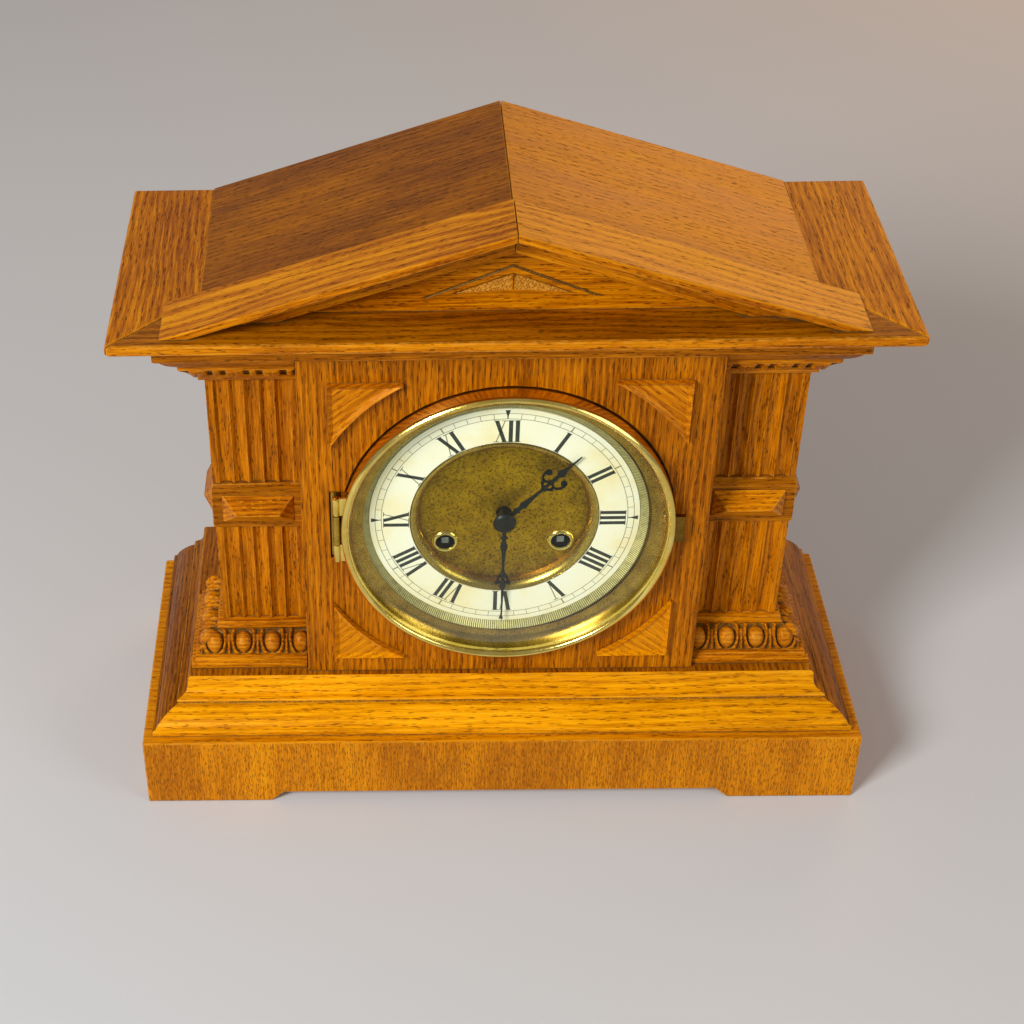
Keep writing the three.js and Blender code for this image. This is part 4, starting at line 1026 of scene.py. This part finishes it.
def makeDialCentre():
    bm = bmesh.new()
    holedPlate(bm, 43.6, -38.5, 0.9, [(x, z, 5.2) for x, z in winding] + [(0.0, dialHeight, 4.0)])
    mesh = meshFrom(bm, "dial_centre_plate")
    smoothBy(mesh, 30)
    finishPiece("dial_centre_plate", mesh, "case", [oldBrass], ["dial_centre"])
    rim = [
        (42.2, -38.6), (42.6, -40.4), (43.4, -42.0), (44.4, -43.2), (45.4, -43.9), (46.2, -44.2),
        (46.9, -44.0), (47.3, -43.4), (47.3, -39.6), (44.0, -37.7),
    ]
    turnedPiece("dial_centre_rim", rim, "case", rimBrass)
    for (x, z), word in zip(winding, ("left", "right")):
        eyelet = [(4.6, -37.9), (4.6, -38.9), (5.0, -39.5), (5.7, -39.7), (6.5, -39.3)]
        eyelet += [(7.0, -38.5), (7.0, -37.9)]
        turnedPiece("winding_eyelet_" + word, eyelet, "case", polishedBrass, (), x, z)


makeDialCentre()
print("dial made")


# Printed numerals and the minute track

chapterFace = -43.5
numerals = ["XII", "I", "II", "III", "IIII", "V", "VI", "VII", "VIII", "IX", "X", "XI"]
glyphs = {
    "low": 47.9,  # radius of the numerals' feet
    "height": 13.0,
    "thick": 2.0,
    "thin": 0.5,
    "widths": {"I": 3.3, "V": 6.6, "X": 6.6},
}


def barShape(bm, corners, degrees, index=0, face=chapterFace, lift=0.06):
    # a flat printed shape on the dial: corners hold (right, outward), turned clockwise from twelve
    a = math.radians(degrees)
    made = [
        bm.verts.new(
            (
                (u * math.cos(a) + v * math.sin(a)) * mm,
                (face - lift) * mm,
                (dialHeight - u * math.sin(a) + v * math.cos(a)) * mm,
            )
        )
        for u, v in corners
    ]
    made = bm.faces.new(made)
    made.material_index = index
    made.normal_update()
    if made.normal.y > 0:
        made.normal_flip()
    return made


def stroke(bm, u0, v0, u1, v1, width, degrees, index=0):
    # upright ends, like a letter's slanted limb
    w = width / 2
    barShape(bm, [(u0 - w, v0), (u0 + w, v0), (u1 + w, v1), (u1 - w, v1)], degrees, index)


def numeral(bm, word, degrees, g):
    widths = [g["widths"][letter] for letter in word]
    at = -sum(widths) / 2
    low, high = g["low"], g["low"] + g["height"]
    for letter, width in zip(word, widths):
        c = at + width / 2
        if letter == "I":
            stroke(bm, c, low, c, high, g["thick"], degrees)
            ends = [(c, low), (c, high - 0.4)]
        elif letter == "V":
            stroke(bm, c - 2.1, high, c + 0.2, low, g["thick"], degrees)
            stroke(bm, c + 2.3, high, c + 0.5, low, g["thin"], degrees, 1)
            ends = [(c - 2.1, high - 0.4), (c + 2.3, high - 0.4)]
        else:
            stroke(bm, c - 2.0, high, c + 2.0, low, g["thick"], degrees)
            stroke(bm, c + 2.1, high, c - 2.1, low, g["thin"], degrees, 1)
            ends = [(c + s * 2.0, v) for s in (-1, 1) for v in (low, high - 0.4)]
        for u, v in ends:
            barShape(bm, [(u - 1.5, v), (u + 1.5, v), (u + 1.5, v + 0.4), (u - 1.5, v + 0.4)], degrees, 1)
        at += width


def tick(bm, half, degrees):
    low, high = 61.8, 64.9
    barShape(bm, [(-half, low), (half, low), (half, high), (-half, high)], degrees, 1)


def makePrinting():
    bm = bmesh.new()
    for hour, word in enumerate(numerals):
        numeral(bm, word, hour * 30, glyphs)
        tick(bm, 0.3, hour * 30)
        if hour % 3 == 0:
            barShape(bm, [(-1.3, 67.0), (0.0, 62.6), (1.3, 67.0)], hour * 30, 0)
    for minute in range(60):
        if minute % 5:
            tick(bm, 0.12, minute * 6)
    for radius in (61.7, 64.9):
        for step in range(180):
            a, b = math.radians(step * 2), math.radians(step * 2 + 2)
            outer = radius + 0.28
            ends = [(radius, a), (outer, a), (outer, b), (radius, b)]
            corners = [(r * math.sin(t), r * math.cos(t)) for r, t in ends]
            barShape(bm, corners, 0, 1)
    mesh = meshFrom(bm, "dial_printing", recalc=False)
    finishPiece("dial_printing", mesh, "case", [numeralInk, fineInk])


makePrinting()


# Hands: pierced and scrolled, cut from thin sheet

hourHand = {
    "turn": 43.0,
    "front": -45.6,
    "thick": 0.7,
    "limbs": [  # stations of (along, half width)
        [
            (0, 2.2), (5, 1.25), (8.2, 1.2), (8.6, 2.1), (9.2, 2.1),
            (9.6, 1.2), (11.6, 1.1), (13.5, 2.1), (15.6, 1.5),
        ],
        [
            (15.6, 1.5), (20.0, 1.0), (25.6, 0.7), (26.6, 1.0),
            (28.4, 2.4), (29.6, 0.8), (31.2, 0.8), (32.8, 1.7),
        ],
        [(32.8, 1.7), (34.4, 0.9), (37.6, 0.9), (40.3, 2.3), (43.2, 0.9), (46.0, 0.55), (54.0, 0.2)],
    ],
    "balls": [(36.6, 5.2, 1.7), (29.9, 3.1, 1.0)],
    "scrolls": [
        [(32.6, 0.8), (31.4, 2.6), (31.6, 4.6), (33.2, 6.0), (35.4, 6.5), (37.2, 6.0)],
        [(28.4, 1.6), (29.4, 3.0)],
    ],
}
minuteHand = {
    "turn": 180.0,
    "front": -47.1,
    "thick": 0.7,
    "limbs": [
        [
            (0, 2.0), (6, 1.1), (9.0, 1.0), (9.3, 1.9), (10.0, 1.9),
            (10.4, 1.0), (13.0, 1.2), (15.6, 2.0), (18.2, 1.2),
        ],
        [
            (18.2, 1.2), (24.0, 0.8), (30.0, 0.6), (32.4, 1.0),
            (34.4, 1.9), (36.2, 1.0), (38.4, 0.9), (38.8, 3.0),
        ],
        [(38.8, 3.0), (39.6, 3.0), (40.0, 0.9), (41.8, 1.7), (44.0, 0.7), (52.0, 0.5), (66.0, 0.2)],
    ],
    "balls": [(39.2, 3.2, 0.9)],
    "scrolls": [[(34.4, 1.4), (36.0, 2.3), (37.8, 2.6), (39.0, 3.0)]],
}


def slab(bm, corners, hand):
    made = barShape(bm, corners, hand["turn"], 0, hand["front"], 0.0)
    solid = bmesh.ops.extrude_face_region(bm, geom=[made])["geom"]
    moved = [g for g in solid if isinstance(g, bmesh.types.BMVert)]
    bmesh.ops.translate(bm, verts=moved, vec=(0, hand["thick"] * mm, 0))


def disc(bm, along, out, radius, hand, steps=20):
    turn = [2 * math.pi * i / steps for i in range(steps)]
    slab(bm, [(out + radius * math.cos(t), along + radius * math.sin(t)) for t in turn], hand)


def makeHand(name, hand, body, replaced, tubes):
    bm = bmesh.new()
    for limb in hand["limbs"]:
        slab(bm, [(w, s) for s, w in limb] + [(-w, s) for s, w in reversed(limb)], hand)
    for sign in (-1, 1):
        for along, out, radius in hand["balls"]:
            disc(bm, along, sign * out, radius, hand)
        for scroll in hand["scrolls"]:
            for (s0, u0), (s1, u1) in zip(scroll, scroll[1:]):
                length = math.hypot(s1 - s0, u1 - u0)
                across = ((s1 - s0) / length * 0.6, -(u1 - u0) / length * 0.6)
                corners = [
                    (sign * (u0 + across[0]), s0 + across[1]),
                    (sign * (u1 + across[0]), s1 + across[1]),
                    (sign * (u1 - across[0]), s1 - across[1]),
                    (sign * (u0 - across[0]), s0 - across[1]),
                ]
                slab(bm, corners, hand)
                disc(bm, s1, sign * u1, 0.6, hand, 10)
    for radius, y0, y1 in tubes:
        turn = Matrix.Translation(Vector((0, (y0 + y1) / 2, dialHeight)) * mm)
        bmesh.ops.create_cone(
            bm,
            cap_ends=True,
            segments=40,
            radius1=radius * mm,
            radius2=radius * mm,
            depth=(y1 - y0) * mm,
            matrix=turn @ Matrix.Rotation(math.pi / 2, 4, "X"),
        )
    mesh = meshFrom(bm, name)
    smoothBy(mesh, 35)
    finishPiece(name, mesh, body, [handBlack], replaced)


# the hour hand's boss, its pipe, and the hour wheel at the pipe's end: radius, and Y from and to
pipeEnd = max(v.co.y for v in nodes["hour_hand"].data.vertices) / mm
hourTubes = [(5.0, -45.6, -44.9), (3.0, -45.5, pipeEnd), (14.0, pipeEnd - 1.4, pipeEnd)]
makeHand("hour_hand_cut", hourHand, "hour_pipe", ["hour_hand"], hourTubes)
makeHand("minute_hand_cut", minuteHand, "minute_arbor", ["minute_hand"], [(4.4, -47.1, -46.4)])
nutProfile = [
    (0.001, -49.7), (1.6, -49.6), (3.2, -49.3), (4.6, -48.7), (5.5, -48.0), (5.9, -47.4),
    (0.001, -47.4),
]
turnedPiece("hand_nut_turned", nutProfile, "minute_arbor", handBlack, ["hand_nut"])
print("hands made")


# Finishes of the pieces that stay as the CAD made them
finishes = {
    "bezel_hinge": rimBrass,
    "bezel_catch": darkSlot,
    "front_plate": plateBrass,
    "back_plate": plateBrass,
    "strike_barrel": plateBrass,
    "time_barrel": plateBrass,
    "strike_winding_arbor": steelGrey,
    "time_winding_arbor": steelGrey,
    "centre_wheel": plateBrass,
    "third_wheel": plateBrass,
    "escape_wheel": plateBrass,
    "pallet_anchor": steelGrey,
    "pendulum": plateBrass,
    "gong_coil": gongSteel,
    "gong_block": blackIron,
    "strike_hammer": steelGrey,
    "back_door_button": rimBrass,
}
for name, finish in finishes.items():
    nodes[name].data.materials.clear()
    nodes[name].data.materials.append(finish)
print("movement finished")


# Floor and light


def makeStage():
    bm = bmesh.new()
    bmesh.ops.create_grid(bm, x_segments=1, y_segments=1, size=14)
    mesh = bpy.data.meshes.new("floor")
    bm.to_mesh(mesh)
    bm.free()
    floor = bpy.data.objects.new("floor", mesh)
    bpy.context.scene.collection.objects.link(floor)
    made, tree, shader = newMaterial("pale matt floor")
    shader.inputs["Base Color"].default_value = grey(0.6)
    shader.inputs["Roughness"].default_value = 0.85
    floor.data.materials.append(made)


def softLight(name, place, target, size, power, colour="#ffffff"):
    data = bpy.data.lights.new(name, "AREA")
    data.shape = "RECTANGLE"
    data.size, data.size_y = size
    data.energy = power
    data.color = linear(colour)[:3]
    made = bpy.data.objects.new(name, data)
    aim = (Vector(target) - Vector(place)).to_track_quat("-Z", "Y")
    made.matrix_world = Matrix.Translation(place) @ aim.to_matrix().to_4x4()
    made.visible_camera = False
    bpy.context.scene.collection.objects.link(made)


makeStage()
softLight("key", (-1.2, -1.3, 1.3), (0, 0, 0.15), (0.6, 0.6), 40)
softLight("fill", (1.5, -1.1, 0.9), (0, 0, 0.15), (0.9, 0.9), 8)
softLight("back", (1.0, 1.6, 0.85), (0.05, 0, 0.28), (0.9, 0.7), 7, "#ffb45e")
world = bpy.data.worlds.new("studio")
bpy.context.scene.world = world
world.use_nodes = True
world.node_tree.nodes["Background"].inputs["Color"].default_value = grey(0.85)
world.node_tree.nodes["Background"].inputs["Strength"].default_value = 0.34
bpy.context.scene.view_settings.view_transform = "Standard"
print("stage made")
